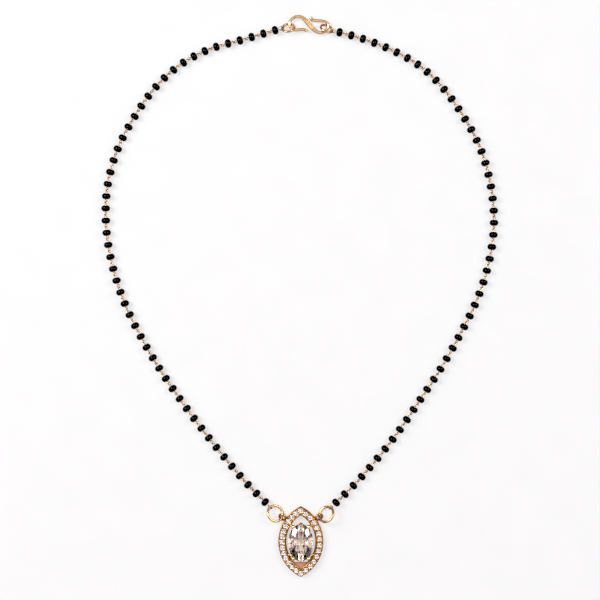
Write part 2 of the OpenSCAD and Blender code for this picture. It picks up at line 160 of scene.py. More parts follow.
@dataclass
class Surface:
    """Points in millimetres and the faces between them, ready to become a mesh.

    Attributes:
        points: The points, one row each.
        corners: The point numbers of every face's corners, face after face.
        counts: How many corners each face has.
        smooth: True for each face that is shaded round.
        finish: The place of each face's material in the piece's list.
    """

    points: Array
    corners: Array
    counts: Array
    smooth: Array
    finish: Array

    @classmethod
    def of(cls, points: Array, faces: Sequence[Array], smooth: bool = True) -> "Surface":
        """Makes a surface from arrays of faces, each with its own number of corners.

        Args:
            points: The points, one row each.
            faces: Arrays of point numbers, one row for each face.
            smooth: Whether the faces are shaded round.

        Returns:
            The surface, all of it in the piece's first material.
        """
        counts = np.concatenate([np.full(len(f), f.shape[1]) for f in faces])
        corners = np.concatenate([f.ravel() for f in faces])
        return cls(points.reshape(-1, 3), corners, counts, np.full(len(counts), smooth),
                   np.zeros(len(counts), int))

    @classmethod
    def joined(cls, parts: Sequence["Surface"]) -> "Surface":
        """Puts surfaces together as one.

        Args:
            parts: The surfaces, in order.

        Returns:
            The one surface.
        """
        shifts = np.cumsum([0] + [len(part.points) for part in parts[:-1]])
        return cls(np.concatenate([part.points for part in parts]),
                   np.concatenate([part.corners + s for part, s in zip(parts, shifts)]),
                   np.concatenate([part.counts for part in parts]),
                   np.concatenate([part.smooth for part in parts]),
                   np.concatenate([part.finish for part in parts]))

    def volume(self) -> float:
        """Adds up the volume between each face's fan of triangles and the origin.

        Returns:
            A sixth of the sum of first . (second x third) over the triangles, which is
            below zero where the surface is inside out.
        """
        start = np.cumsum(self.counts) - self.counts
        fans = self.counts - 2
        face = np.repeat(np.arange(len(fans)), fans)
        step = np.arange(fans.sum()) - np.repeat(np.cumsum(fans) - fans, fans) + 1
        first = self.points[self.corners[start[face]]]
        second = self.points[self.corners[start[face] + step]]
        third = self.points[self.corners[start[face] + step + 1]]
        return float(np.sum(first * np.cross(second, third)) / 6)

    def outward(self) -> "Surface":
        """Turns every face round if the surface is inside out.

        Returns:
            The surface itself.
        """
        if self.volume() < 0:
            start = np.repeat(np.cumsum(self.counts) - self.counts, self.counts)
            size = np.repeat(self.counts, self.counts)
            place = np.arange(len(self.corners)) - start
            self.corners = self.corners[start + size - 1 - place]
        return self

    def moved(self, step: Sequence[float] | Array) -> "Surface":
        """Shifts the surface, by one step or by one for each point, and gives it back."""
        self.points = self.points + np.asarray(step, float)
        return self

    def painted(self, columns: int, chosen: slice | int, finish: int) -> "Surface":
        """Gives some of a band's faces a finish of their own.

        Args:
            columns: How many faces lie next to each other in the faces' order.
            chosen: Which of them are painted, in every row.
            finish: The place of their material in the piece's list.

        Returns:
            The surface itself.
        """
        grid = self.finish.reshape(-1, columns)
        grid[:, chosen] = finish
        self.finish = grid.ravel()
        return self

    def piece(self, name: str, slot: str, finishes: Sequence[bpy.types.Material],
              nodes: Sequence[str]) -> bpy.types.Object:
        """Makes the object, gives it its materials and puts it in place of CAD nodes.

        Args:
            name: The piece's name.
            slot: The record's material slot; not used.
            finishes: The materials, in the order of the faces' numbers.
            nodes: The CAD nodes that it stands for.

        Returns:
            The object, at the origin, with its place in its mesh.
        """
        mesh = bpy.data.meshes.new(name)
        mesh.vertices.add(len(self.points))
        mesh.vertices.foreach_set("co", (self.points * MM).astype(np.float32).ravel())
        mesh.loops.add(len(self.corners))
        mesh.loops.foreach_set("vertex_index", self.corners.astype(np.int32))
        mesh.polygons.add(len(self.counts))
        starts = (np.cumsum(self.counts) - self.counts).astype(np.int32)
        mesh.polygons.foreach_set("loop_start", starts)
        for finish in finishes:
            mesh.materials.append(finish)
        mesh.polygons.foreach_set("material_index", self.finish.astype(np.int32))
        mesh.update(calc_edges=True)
        mesh.polygons.foreach_set("use_smooth", self.smooth.astype(bool))
        mesh.validate()
        mesh.set_sharp_from_angle(angle=SHARP_ANGLE)
        made = placed(name, mesh)
        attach(made, "root")
        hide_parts(*nodes)
        log.info("%s: %d faces for %s", name, len(self.counts), ", ".join(nodes))
        return made


def skin(rings: Array, ends: Ends, tips: Array | None = None) -> Surface:
    """Joins each point of a ring to its neighbours round it and in the next ring.

    Args:
        rings: The points, as (shapes, rings, points round a ring, 3).
        ends: How the first and the last ring are finished.
        tips: For pointed ends, the two end points of each shape, as (shapes, 2, 3).

    Returns:
        The skin of all the shapes, its faces outwards.
    """
    shapes, rows, columns = rings.shape[:3]
    at = np.arange(shapes * rows * columns).reshape(shapes, rows, columns)
    points = rings.reshape(-1, 3)
    if ends is Ends.JOINED:
        low, high = at, np.roll(at, -1, axis=1)
    else:
        low, high = at[:, :-1], at[:, 1:]
    faces = [np.stack([low, np.roll(low, -1, axis=2), np.roll(high, -1, axis=2), high],
                      axis=-1).reshape(-1, 4)]
    if ends is Ends.FLAT:
        faces.append(np.concatenate([at[:, 0, ::-1], at[:, -1]]))
    if ends is Ends.POINTED:
        points = np.concatenate([points, tips.reshape(-1, 3)])
        tip = at.size + np.arange(2 * shapes).reshape(shapes, 2)
        for end, row in ((0, at[:, 0]), (1, at[:, -1, ::-1])):
            fan = np.stack([np.roll(row, -1, axis=1), row,
                            np.broadcast_to(tip[:, end:end + 1], row.shape)], axis=-1)
            faces.append(fan.reshape(-1, 3))
    return Surface.of(points, faces).outward()


def tube(path: Array, side: Array, ends: Ends, radius: float, sides: int) -> Surface:
    """Carries a circle along paths: point = path + r cos a across + r sin a over.

    Args:
        path: The middle lines, as (shapes, points, 3).
        side: For each point, a direction that isn't the path's.
        ends: How the tube ends.
        radius: The circle's radius.
        sides: Points round the circle.

    Returns:
        The skin of the tubes.
    """
    if ends is Ends.JOINED:
        run = unit(np.roll(path, -1, axis=1) - np.roll(path, 1, axis=1))
    else:
        run = unit(np.gradient(path, axis=1))
    across = unit(square_to(np.broadcast_to(side, path.shape), run))
    over = np.cross(run, across)
    a = 2 * np.pi * np.arange(sides) / sides
    rings = (path[:, :, None] + radius * np.cos(a)[:, None] * across[:, :, None]
             + radius * np.sin(a)[:, None] * over[:, :, None])
    return skin(rings, ends)


def lathe(profile: Array, centre: Array, axis: Array, side: Array, sides: int,
          ends: Ends = Ends.JOINED, scale: Array | None = None) -> Surface:
    """Turns a profile of radius and height about axes; point = centre + r round + h axis.

    Args:
        profile: Radius and height of each point of the profile.
        centre: The centre of each shape, as (shapes, 3).
        axis: The axis of each shape.
        side: A direction square to each axis.
        sides: Points round the axis.
        ends: JOINED for a profile that closes on itself, POINTED where its first and
            last points lie on the axis.
        scale: The size of each shape; one where it isn't given.

    Returns:
        The skin of all the shapes.
    """
    axis = np.broadcast_to(axis, centre.shape)
    side = np.broadcast_to(side, centre.shape)
    size = np.ones(len(centre)) if scale is None else scale
    a = 2 * np.pi * np.arange(sides) / sides
    third = np.cross(axis, side)
    round_a = np.cos(a)[:, None] * side[:, None] + np.sin(a)[:, None] * third[:, None]
    body = profile if ends is not Ends.POINTED else profile[1:-1]
    rings = (centre[:, None, None] + size[:, None, None, None]
             * (body[:, 0, None, None] * round_a[:, None]
                + body[:, 1, None, None] * axis[:, None, None]))
    tips = None
    if ends is Ends.POINTED:
        tips = centre[:, None] + (size[:, None] * profile[[0, -1], 1])[..., None] * axis[:, None]
    return skin(rings, ends, tips)


def loose_solids(node: str) -> list[Array]:
    """Splits a CAD node's mesh into its loose solids.

    Corners at one place get one number; each number then takes the lowest number of the
    triangles it belongs to, over and over, until nothing changes.

    Args:
        node: The node's name.

    Returns:
        The corner points of each loose solid, in millimetres.
    """
    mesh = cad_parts[node].data
    points = np.empty(len(mesh.vertices) * 3, np.float32)
    mesh.vertices.foreach_get("co", points)
    points = points.reshape(-1, 3).astype(float) / MM
    corners = np.empty(len(mesh.loops), np.int32)
    mesh.loops.foreach_get("vertex_index", corners)
    cells = np.round((points - points.min(axis=0)) * CELLS_PER_MM).astype(np.int64)
    keys = (cells[:, 0] * KEY_STEP + cells[:, 1]) * KEY_STEP + cells[:, 2]
    place = np.unique(keys, return_inverse=True)[1]
    faces = place[corners.reshape(-1, 3)]
    label = np.arange(place.max() + 1)
    while True:
        lowest = label[faces].min(axis=1)
        newer = label.copy()
        np.minimum.at(newer, faces.ravel(), np.repeat(lowest, 3))
        newer = newer[newer]
        if np.array_equal(newer, label):
            break
        label = newer
    order = np.argsort(label[place], kind="stable")
    cuts = np.flatnonzero(np.diff(label[place][order])) + 1
    return np.split(points[order], cuts)


# Finishes

def linear(code: str) -> Colour:
    """Turns an sRGB hex colour into linear light.

    A channel c up to 0.04045 becomes c / 12.92, a higher one ((c + 0.055) / 1.055) to
    the power 2.4.

    Args:
        code: The colour, as #rrggbb.

    Returns:
        Red, green, blue and a full alpha.
    """
    parts = [int(code[i:i + 2], 16) / 255 for i in (1, 3, 5)]
    red, green, blue = (c / 12.92 if c <= 0.04045 else ((c + 0.055) / 1.055) ** 2.4
                        for c in parts)
    return red, green, blue, 1.0


def grey(level: float) -> Colour:
    """Gives a grey of a strength, in linear light."""
    return level, level, level, 1.0


def add_node(tree: bpy.types.NodeTree, kind: str, settings: Settings | None = None,
             links: Links | None = None) -> bpy.types.Node:
    """Adds a shader node, with its settings and what its inputs are linked to.

    Args:
        tree: The node tree.
        kind: The node's type.
        settings: Values by input name, or by property name where there is no such input.
            Under "stops" they are a colour ramp's positions and colours.
        links: Output sockets by the name or number of the input they go to.

    Returns:
        The node.
    """
    node = tree.nodes.new(kind)
    for key, value in (settings or {}).items():
        if key == "stops":
            elements = node.color_ramp.elements
            while len(elements) < len(value):
                elements.new(1.0)
            for element, (position, colour) in zip(elements, value):
                element.position = position
                element.color = colour
        elif key in node.inputs:
            node.inputs[key].default_value = value
        else:
            setattr(node, key, value)
    for key, socket in (links or {}).items():
        tree.links.new(socket, node.inputs[key])
    return node


@dataclass(frozen=True)
class Recipe:
    """What every finish shares: two tones that blend in clouds of a real size.

    Attributes:
        name: The material's name.
        low_tone: The sRGB colour where the clouds are thin.
        high_tone: The sRGB colour where they are thick.
        cloud_mm: The size of the clouds.
        cloud_detail: How many times over finer clouds are laid into them.
        blend: How thick the clouds are where the tones begin and end to blend.
    """

    name: str
    low_tone: str
    high_tone: str
    cloud_mm: ClassVar[float]
    cloud_detail: ClassVar[float] = 2.0
    blend: ClassVar[tuple[float, float]] = (0.3, 0.7)

    def surface(self, tree: bpy.types.NodeTree, place: bpy.types.NodeSocket,
                cloud: bpy.types.NodeSocket) -> tuple[Settings, Links]:
        """Works out what a finish adds to its colour; each finish has its own.

        Args:
            tree: The material's nodes.
            place: The point's place in the piece.
            cloud: How thick the clouds are there.

        Returns:
            The shader's settings and links.
        """
        raise NotImplementedError

    def material(self) -> bpy.types.Material:
        """Makes the material: clouds of the two tones, and what the finish adds to them.

        Returns:
            The material.
        """
        material = bpy.data.materials.new(self.name)
        material.use_nodes = True
        tree = material.node_tree
        tree.nodes.clear()
        place = add_node(tree, "ShaderNodeTexCoord").outputs["Object"]
        cloud = add_node(tree, "ShaderNodeTexNoise",
                         {"Scale": 1 / (self.cloud_mm * MM), "Detail": self.cloud_detail},
                         {"Vector": place}).outputs["Fac"]
        tones = zip(self.blend, (linear(self.low_tone), linear(self.high_tone)))
        colour = add_node(tree, "ShaderNodeValToRGB", {"stops": list(tones)}, {"Fac": cloud})
        settings, links = self.surface(tree, place, cloud)
        shader = add_node(tree, "ShaderNodeBsdfPrincipled", settings,
                          {"Base Color": colour.outputs["Color"], **links})
        add_node(tree, "ShaderNodeOutputMaterial", links={"Surface": shader.outputs["BSDF"]})
        return material


@dataclass(frozen=True)
class Relief:
    """A fine unevenness: it varies the polish and raises the surface a little.

    Attributes:
        roughness: The roughness in its hollows and on its crests.
        strength: How much of the relief shows in the shading, from 0 to 1.
        height_mm: How high its crests are.
    """

    roughness: tuple[float, float]
    strength: float
    height_mm: float

    def links(self, tree: bpy.types.NodeTree, pattern: bpy.types.NodeSocket) -> Links:
        """Adds the relief's nodes.

        Args:
            tree: The material's nodes.
            pattern: How high the unevenness is at a point, from 0 to 1.

        Returns:
            The shader's links for roughness and normal.
        """
        rough = add_node(tree, "ShaderNodeMapRange",
                         {"To Min": self.roughness[0], "To Max": self.roughness[1]},
                         {"Value": pattern})
        bump = add_node(tree, "ShaderNodeBump",
                        {"Strength": self.strength, "Distance": self.height_mm * MM},
                        {"Height": pattern})
        return {"Roughness": rough.outputs["Result"], "Normal": bump.outputs["Normal"]}


@dataclass(frozen=True)
class PressedGlass(Recipe):
    """Black glass, pressed in a mould and tumbled to a shine.

    To the eye it is deep black with two small soft highlights on each bead, which the
    faint ripple of the pressed skin, 0.9 mm from crest to crest, breaks a little.
    """

    relief: Relief = Relief((0.05, 0.10), 0.25, 0.008)
    ior: float = 1.5
    sheen: float = 0.12
    cloud_mm: ClassVar[float] = 0.9
    blend: ClassVar[tuple[float, float]] = (0.35, 0.7)

    def surface(self, tree: bpy.types.NodeTree, place: bpy.types.NodeSocket,
                cloud: bpy.types.NodeSocket) -> tuple[Settings, Links]:
        """Polishes the glass and ripples it where its clouds are."""
        return ({"IOR": self.ior, "Specular IOR Level": self.sheen},
                self.relief.links(tree, cloud))


@dataclass(frozen=True)
class GoldPlate(Recipe):
    """Gold-plated brass, as drawn, cast or polished as its maker left it.

    To the eye it is warm rose yellow metal in which a deeper plate shows in clouds. The
    grain of the polish is about 0.02 mm in the real piece, too fine for the picture, and
    is drawn as coarse as grain_mm says so that it shows.
    """

    roughness: tuple[float, float]
    grain_mm: float
    grain_height: float
    grain_strength: float = 0.3
    grain_detail: float = 4.0
    cloud_mm: ClassVar[float] = 3.0
    cloud_detail: ClassVar[float] = 3.0
    blend: ClassVar[tuple[float, float]] = (0.3, 0.65)

    def surface(self, tree: bpy.types.NodeTree, place: bpy.types.NodeSocket,
                cloud: bpy.types.NodeSocket) -> tuple[Settings, Links]:
        """Makes the surface metal, with the grain of its polish.

        Args:
            tree: The material's nodes.
            place: The point's place in the piece.
            cloud: How thick the clouds are there.

        Returns:
            The shader's settings and links.
        """
        grain = add_node(tree, "ShaderNodeTexNoise",
                         {"Scale": 1 / (self.grain_mm * MM), "Detail": self.grain_detail},
                         {"Vector": place})
        relief = Relief(self.roughness, self.grain_strength, self.grain_height)
        return {"Metallic": 1.0}, relief.links(tree, grain.outputs["Fac"])


@dataclass(frozen=True)
class CutZirconia(Recipe):
    """Cut cubic zirconia, polished or ground.

    To the eye it is clear, with bright and dark facets; the faint clouds in its tint,
    2.5 mm wide, are the stone's own uneven body. The index is a little over the real
    2.15 to 2.18, as matched to the photograph.
    """

    roughness: float
    ior: float = 2.3
    cloud_mm: ClassVar[float] = 2.5

    def surface(self, tree: bpy.types.NodeTree, place: bpy.types.NodeSocket,
                cloud: bpy.types.NodeSocket) -> tuple[Settings, Links]:
        """Makes the stone clear."""
        return {"Roughness": self.roughness, "IOR": self.ior, "Transmission Weight": 1.0}, {}


@dataclass(frozen=True)
class WhiteTable(Recipe):
    """White matt acrylic sheet, lit a little from within.

    To the eye it has almost no shading, so only soft contact shadows show; its faint
    clouds, 12 mm wide, are the unevenness of a cast sheet. The picture is exposed until
    the sheet is white, and polished metal and glass show it darker than that, so what is
    mirrored in a piece meets none of its glow.
    """

    glow: float = 0.62
    glow_mirrored: float = 0.0
    roughness: float = 0.9
    glow_tint: str = "#ffffff"
    cloud_mm: ClassVar[float] = 12.0

    def surface(self, tree: bpy.types.NodeTree, place: bpy.types.NodeSocket,
                cloud: bpy.types.NodeSocket) -> tuple[Settings, Links]:
        """Makes the sheet matt and lets light come through it.

        Args:
            tree: The material's nodes.
            place: The point's place on the sheet.
            cloud: How thick the clouds are there.

        Returns:
            The shader's settings and links.
        """
        mirrored = add_node(tree, "ShaderNodeLightPath").outputs["Is Reflection Ray"]
        glow = add_node(tree, "ShaderNodeMapRange",
                        {"To Min": self.glow, "To Max": self.glow_mirrored},
                        {"Value": mirrored})
        return ({"Roughness": self.roughness, "Specular IOR Level": 0.0,
                 "Emission Color": linear(self.glow_tint)},
                {"Emission Strength": glow.outputs["Result"]})


class Finish(Enum):
    """Every finish of the necklace, with the recipe of its material."""

    BEADS = PressedGlass("pressed_black_glass", "#050506", "#0b0908")
    # Drawn wire: pale rose gold with a soft, broad streak of light.
    PINS = GoldPlate("gold_plated_drawn_wire", "#cf9c66", "#ecc494", (0.16, 0.26), 0.12, 0.002)
    # Cast and tumbled: deeper gold, bright where it turns to the light.
    CAST = GoldPlate("gold_plated_cast_setting", "#a47038", "#cc9b5d", (0.10, 0.22), 0.2, 0.003)
    # Sand-blasted: dull rose brown with no highlight of its own.
    SATIN = GoldPlate("gold_plated_satin_plate", "#a67f69", "#bd9680", (0.42, 0.55), 0.15, 0.006)
    # Painted shade: dark brown in the recesses, where shade falls, a dark line round each cup;
    # dull, as no polishing brush reaches there.
    RECESS = GoldPlate("gold_plated_painted_shade_recess", "#683d1c", "#8a5628",
                       (0.30, 0.45), 0.2, 0.004)
    # Rubbed over the stone by hand: the smoothest metal, lighter and yellower than the rest,
    # partly its own burnished tone and partly a painted highlight.
    PRONGS = GoldPlate("gold_plated_burnished_prongs_painted_highlight", "#e8bf74", "#f9d896",
                       (0.06, 0.12), 0.2, 0.001)
    # Barrel-polished wire: warm gold with a soft highlight.
    RINGS = GoldPlate("gold_plated_polished_rings", "#c58f58", "#dcae76",
                      (0.18, 0.28), 0.25, 0.002)
    # Hand-polished wire: pale gold with clear light and dark along it.
    HOOK = GoldPlate("gold_plated_polished_hook", "#eab87c", "#fbdcaa",
                     (0.08, 0.16), 0.25, 0.002)
    # Polished facets: white fire and clear depths.
    HALO = CutZirconia("polished_cubic_zirconia", "#ffffff", "#fbf9fc", 0.0)
    # The same cut with a faint peach tint: a painted reflection of the gold setting round the
    # stone.
    CENTRE = CutZirconia("polished_zirconia_painted_warm_reflection", "#f9e4d7", "#e8cab6", 0.0)
    # Ground and left so: a frosted white line round the stone.
    GIRDLE = CutZirconia("ground_zirconia_girdle", "#ffffff", "#f1eff2", 0.35)


Materials = dict[Finish, bpy.types.Material]


# The strands

@dataclass
class Pin:
    """One eye pin, as the CAD solid gives it: each eye's centre, outer radius and side."""

    centre: Array
    outer_r: Array
    side: Array

    @classmethod
    def fitted(cls, points: Array, window: float) -> "Pin":
        """Finds the two eyes of a pin.

        The long axis is the points' main direction. Near each end the largest distance
        from the axis is the eye's outer radius, and the points' main direction square to
        the axis is the eye's side.

        Args:
            points: The corner points of the pin's solid.
            window: How far from an end its eye is looked for.

        Returns:
            The pin.
        """
        middle = span(points)[0]
        run = main_axes(points - points.mean(axis=0))[0]
        along = (points - middle) @ run
        centres, radii, sides = [], [], []
        for sign in (-1, 1):
            end = (sign * along).max()
            near = points[sign * along > end - window] - middle
            flat = near - (near @ run)[:, None] * run
            side = main_axes(flat - flat.mean(axis=0))[0]
            third = np.cross(run, side)
            shift, radius = span(flat @ side)
            centres.append(middle + sign * (end - radius) * run + shift * side
                           + span(flat @ third)[0] * third)
            radii.append(radius)
            sides.append(side)
        return cls(np.array(centres), np.array(radii), np.array(sides))


@dataclass
class Strand:
    """One strand: drilled black beads, each on a pin with an eye at both ends.

    Attributes:
        name: The strand's side, as in its nodes' names.
        seed: What its beads' small differences are drawn from.
        bead_r: A bead's radius, square to its pin.
        bead_half: Half its thickness, along its pin.
        arc_r: The radius of its outside's section.
        end_step: How far short of the flat end the section's arc stops.
        bead_sizes: The smallest and the largest bead, as shares of bead_r.
        most_tilt: How far a bead may stand askew on its pin.
        eye_window: How far from a pin's end its eye is looked for.
        loop_start: How far round from the stem an eye's cut end lies.
        fillet_r: The radius of the bend from an eye into the stem.
        twist_rows: Over how many of the stem's rings the section twists.
    """

    name: str
    seed: int
    bead_r: float = 1.5
    bead_half: float = 1.02
    arc_r: float = 1.06
    arc_points: int = 15
    end_step: float = 0.01
    bore_r: float = 0.27
    edge_round: float = 0.09
    edge_points: int = 4
    bead_sides: int = 32
    bead_sizes: tuple[float, float] = (0.98, 0.999)
    most_tilt: float = math.radians(3)
    wire_r: float = 0.16
    wire_sides: int = 8
    eye_window: float = 1.9
    loop_start: float = math.radians(41)
    loop_points: int = 20
    fillet_r: float = 0.24
    fillet_points: int = 6
    twist_rows: int = 5

    def pins(self) -> list[Pin]:
        """Reads the pins from the CAD node."""
        return [Pin.fitted(points, self.eye_window)
                for points in loose_solids(f"bead_pins_{self.name}")]

    def bead_profile(self) -> Array:
        """Works out the bead's closed profile.

        Outside it is an arc whose centre lies off the axis, then a flat end, a rounded
        edge and the straight wall of the hole.

        Returns:
            Radius and height of each point.
        """
        top = math.asin((self.bead_half - self.end_step) / self.arc_r)
        arc = round_points(self.arc_r, np.linspace(-top, top, self.arc_points))
        q = np.linspace(0, np.pi / 2, self.edge_points)
        turn = np.stack([self.bore_r + self.edge_round * (1 - np.sin(q)),
                         self.bead_half - self.edge_round * (1 - np.cos(q))], axis=-1)
        return np.concatenate([arc + [self.bead_r - self.arc_r, 0], turn, turn[::-1] * [1, -1]])

    def beads(self, pins: Sequence[Pin], glass: bpy.types.Material) -> bpy.types.Object:
        """Builds the beads, each a little smaller and a little askew on its pin.

        A bead reaches down by its arc's radius plus the arc centre's distance from the
        axis, times how level the axis is; its centre is never lower than that.

        Args:
            pins: The strand's pins.
            glass: The beads' finish.

        Returns:
            The piece that stands for the strand's beads.
        """
        chance = np.random.default_rng(self.seed)
        node = f"black_beads_{self.name}"
        centre = np.array([span(points)[0] for points in loose_solids(node)])
        middle = np.array([pin.centre.mean(axis=0) for pin in pins])
        run = unit(np.array([pin.centre[1] - pin.centre[0] for pin in pins]))
        nearest = np.argmin(np.linalg.norm(centre[:, None] - middle[None], axis=-1), axis=1)
        axis = run[nearest]
        side = unit(np.cross(axis, UP))
        tilt = self.most_tilt * chance.uniform(-1, 1, (len(centre), 2))
        axis = unit(axis + tilt[:, :1] * side + tilt[:, 1:] * UP)
        side = unit(np.cross(axis, UP))
        size = chance.uniform(*self.bead_sizes, len(centre))
        centre[:, 2] -= self.bead_r * (1 - size)
        level = np.hypot(axis[:, 0], axis[:, 1])
        reach = size * ((self.bead_r - self.arc_r) * level + self.arc_r)
        centre[:, 2] = np.maximum(centre[:, 2], reach)
        surface = lathe(self.bead_profile(), centre, axis, side, self.bead_sides, scale=size)
        return surface.piece(f"beads_{self.name}_glass", "black_glass_beads", [glass], [node])

    def half_path(self, eye_r: Array, reach: Array) -> tuple[Array, Array]:
        """Works out half a pin in its eye's plane, from the loop's cut end to the stem.

        The loop is a circle; a smaller arc, tangent to it from outside and tangent to the
        stem's line, bends the wire from the loop into the stem.

        Args:
            eye_r: The radius of each loop's middle line.
            reach: The distance from each loop's centre to the middle of the pin.

        Returns:
            Distance along the stem's line from the loop's centre, and distance from it.
        """
        r, f = eye_r[:, None], self.fillet_r
        end = 2 * np.pi - np.arcsin(f / (r + f))
        a = self.loop_start + (end - self.loop_start) * np.linspace(0, 1, self.loop_points)
        bend_x = np.sqrt(r * r + 2 * r * f)
        start = end - np.pi
        turn = start + (np.pi / 2 - start) * np.linspace(0, 1, self.fillet_points)[1:]
        stem = bend_x + (reach[:, None] - bend_x) * np.array([0.5, 1.0])
        x = np.concatenate([r * np.cos(a), bend_x + f * np.cos(turn), stem], axis=1)
        y = np.concatenate([r * np.sin(a), -f + f * np.sin(turn), np.zeros_like(stem)], axis=1)
        return x, y

    def wires(self, pins: Sequence[Pin], gold: bpy.types.Material) -> bpy.types.Object:
        """Builds the pins, each one bent wire with a nearly closed eye at both ends.

        Along the stem the section twists from the first eye's plane to the second's.

        Args:
            pins: The strand's pins.
            gold: The wire's finish.

        Returns:
            The piece that stands for the strand's pins.
        """
        centre = np.array([pin.centre for pin in pins])
        eye_r = np.array([pin.outer_r for pin in pins]) - self.wire_r
        side = np.array([pin.side for pin in pins])
        run = unit(centre[:, 1] - centre[:, 0])
        reach = np.linalg.norm(centre[:, 1] - centre[:, 0], axis=-1) / 2
        halves, sides = [], []
        for end, sign in ((0, 1.0), (1, -1.0)):
            square = unit(square_to(side[:, end], run))
            x, y = self.half_path(eye_r[:, end], reach)
            halves.append(centre[:, end, None] + sign * x[..., None] * run[:, None]
                          + y[..., None] * square[:, None])
            sides.append(np.cross(run, square)[:, None])
        path = np.concatenate([halves[0][:, :-1], halves[1][:, ::-1]], axis=1)
        first, last = sides
        last = last * np.where(np.sum(first * last, axis=-1, keepdims=True) < 0, -1, 1)
        start = halves[0].shape[1] - self.twist_rows + 1
        share = np.clip((np.arange(path.shape[1]) - start) / self.twist_rows, 0, 1)[:, None]
        surface = tube(path, first * (1 - share) + last * share, Ends.FLAT, self.wire_r,
                       self.wire_sides)
        return surface.piece(f"pins_{self.name}_wire", "gold_plated_pins", [gold],
                             [f"bead_pins_{self.name}"])

    def build(self, materials: Materials) -> None:
        """Builds the strand's beads and pins.

        Args:
            materials: The necklace's materials.
        """
        pins = self.pins()
        self.beads(pins, materials[Finish.BEADS])
        self.wires(pins, materials[Finish.PINS])


# Rings and hook

@dataclass
class Ring:
    """A ring bent from round wire, with a fine butt cut where its ends meet.

    Attributes:
        node: The ring's CAD node.
        cut_at: Where round the ring the cut lies, as an angle.
        cut: How wide the cut is.
        fuller: How much the wire's radius is over the CAD solid's, as the photograph
            shows it.
    """

    node: str
    cut_at: float
    cut: float = 0.05
    fuller: float = 0.04
    steps: int = 72
    sides: int = 20

    def build(self, gold: bpy.types.Material) -> bpy.types.Object:
        """Builds the ring where its CAD solid lies, and no lower than the table.

        Its plane is the two longer main directions of the solid's points, its radius and
        its wire's are the middle and the half width of their distances from its centre.

        Args:
            gold: The ring's finish.

        Returns:
            The piece that stands for the ring.
        """
        points = loose_solids(self.node)[0]
        centre = span(points)[0]
        across, _, axis = main_axes(points - centre)
        over = np.cross(axis, across)
        ring_r, wire_r = span(np.linalg.norm(square_to(points - centre, axis), axis=-1))
        gap = self.cut / ring_r / 2
        turn = round_points(ring_r, self.cut_at + np.linspace(gap, 2 * np.pi - gap, self.steps))
        path = centre + turn[:, :1] * across + turn[:, 1:] * over
        surface = tube(path[None], axis, Ends.FLAT, wire_r + self.fuller, self.sides)
        surface.moved((0, 0, max(0.0, -surface.points[:, 2].min())))
        return surface.piece(f"{self.node}_wire", "gold_plated_rings", [gold], [self.node])


@dataclass
class Hook:
    """The S hook: round wire, wide and grooved in the middle, with flared tips.

    Attributes:
        at: Where the route's middle lies.
        mid_w: The width of the wire in the middle.
        tip_w: Its width at the tips.
        mid_reach: How far the middle's width reaches, as a share of the route.
        mid_flat: How much thinner the middle is, as a share of the wire.
        tip_reach: How far a tip's width reaches, as a share of the route.
        tip_round: How long a tip's rounded end is, as a share of the route.
        tip_least: The square of the share of the section that is left at a tip's end.
        groove: The groove's depth, as a share of half the thickness.
        groove_reach: The groove's half width, as a share of half the width.
        route: The points that the wire's middle line runs through, seen from above.
    """

    at: tuple[float, float, float] = (3.04, 92.48, 1.3)
    wire_d: float = 0.93
    mid_w: float = 1.5
    tip_w: float = 1.2
    mid_reach: float = 0.09
    mid_flat: float = 0.12
    tip_reach: float = 0.03
    tip_round: float = 0.006
    tip_least: float = 0.09
    groove: float = 0.5
    groove_reach: float = 0.4
    steps: int = 9
    sides: int = 28
    route: tuple[tuple[float, float], ...] = (
        (-0.6, -2.6), (-1.2, -1.95), (-3.0, -1.9), (-4.8, -2.05), (-6.0, -1.4),
        (-6.55, -0.1), (-6.15, 1.15), (-5.1, 2.15), (-3.7, 2.6), (-2.3, 2.25),
        (-1.15, 1.25), (0, 0), (1.3, -1.55), (2.7, -2.6), (4.0, -2.95),
        (5.2, -2.65), (6.3, -1.6), (6.6, -0.35), (5.9, 0.65), (4.8, 1.0),
        (2.9, 1.2), (1.2, 1.35), (0.6, 2.4))

    def build(self, gold: bpy.types.Material) -> bpy.types.Object:
        """Carries the hook's section along its route.

        The section is an ellipse whose width swells like a bell curve at the middle and
        the tips; in the middle a soft groove runs along its top and bottom. Over the last
        stretch before a tip it shrinks as the root of 1 - s squared, s being the share of
        that stretch gone by.

        Args:
            gold: The hook's finish.

        Returns:
            The piece that stands for the hook.
        """
        line = smooth_line(np.array(self.route, float), self.steps)
        u = np.linspace(0, 1, len(line))
        middle = np.exp(-((u - 0.5) / self.mid_reach) ** 2)
        tips = np.exp(-(u / self.tip_reach) ** 2) + np.exp(-((u - 1) / self.tip_reach) ** 2)
        half_w = (self.wire_d + (self.mid_w - self.wire_d) * middle
                  + (self.tip_w - self.wire_d) * tips) / 2
        half_t = self.wire_d / 2 * (1 - self.mid_flat * middle)
        gone = np.clip(1 - np.minimum(u, 1 - u) / self.tip_round, 0, 1)
        shrink = np.sqrt(np.clip(1 - gone ** 2, self.tip_least, 1))
        run = unit(np.gradient(line, axis=0))
        across = with_z(np.stack([-run[:, 1], run[:, 0]], axis=-1), 0)
        a = 2 * np.pi * np.arange(self.sides) / self.sides
        bed = np.exp(-(np.cos(a) / self.groove_reach) ** 2)
        sunk = 1 - self.groove * middle[:, None] * bed
        rings = (with_z(line, 0)[:, None]
                 + (half_w * shrink)[:, None, None] * np.cos(a)[:, None] * across[:, None]
                 + ((half_t * shrink)[:, None] * sunk * np.sin(a))[..., None] * UP)
        tips_at = with_z(line[[0, -1]], 0)[None]
        surface = skin(rings[None], Ends.POINTED, tips_at).moved(self.at)
        return surface.piece("s_hook_wire", "gold_plated_rings", [gold], ["s_hook"])


# The pendant

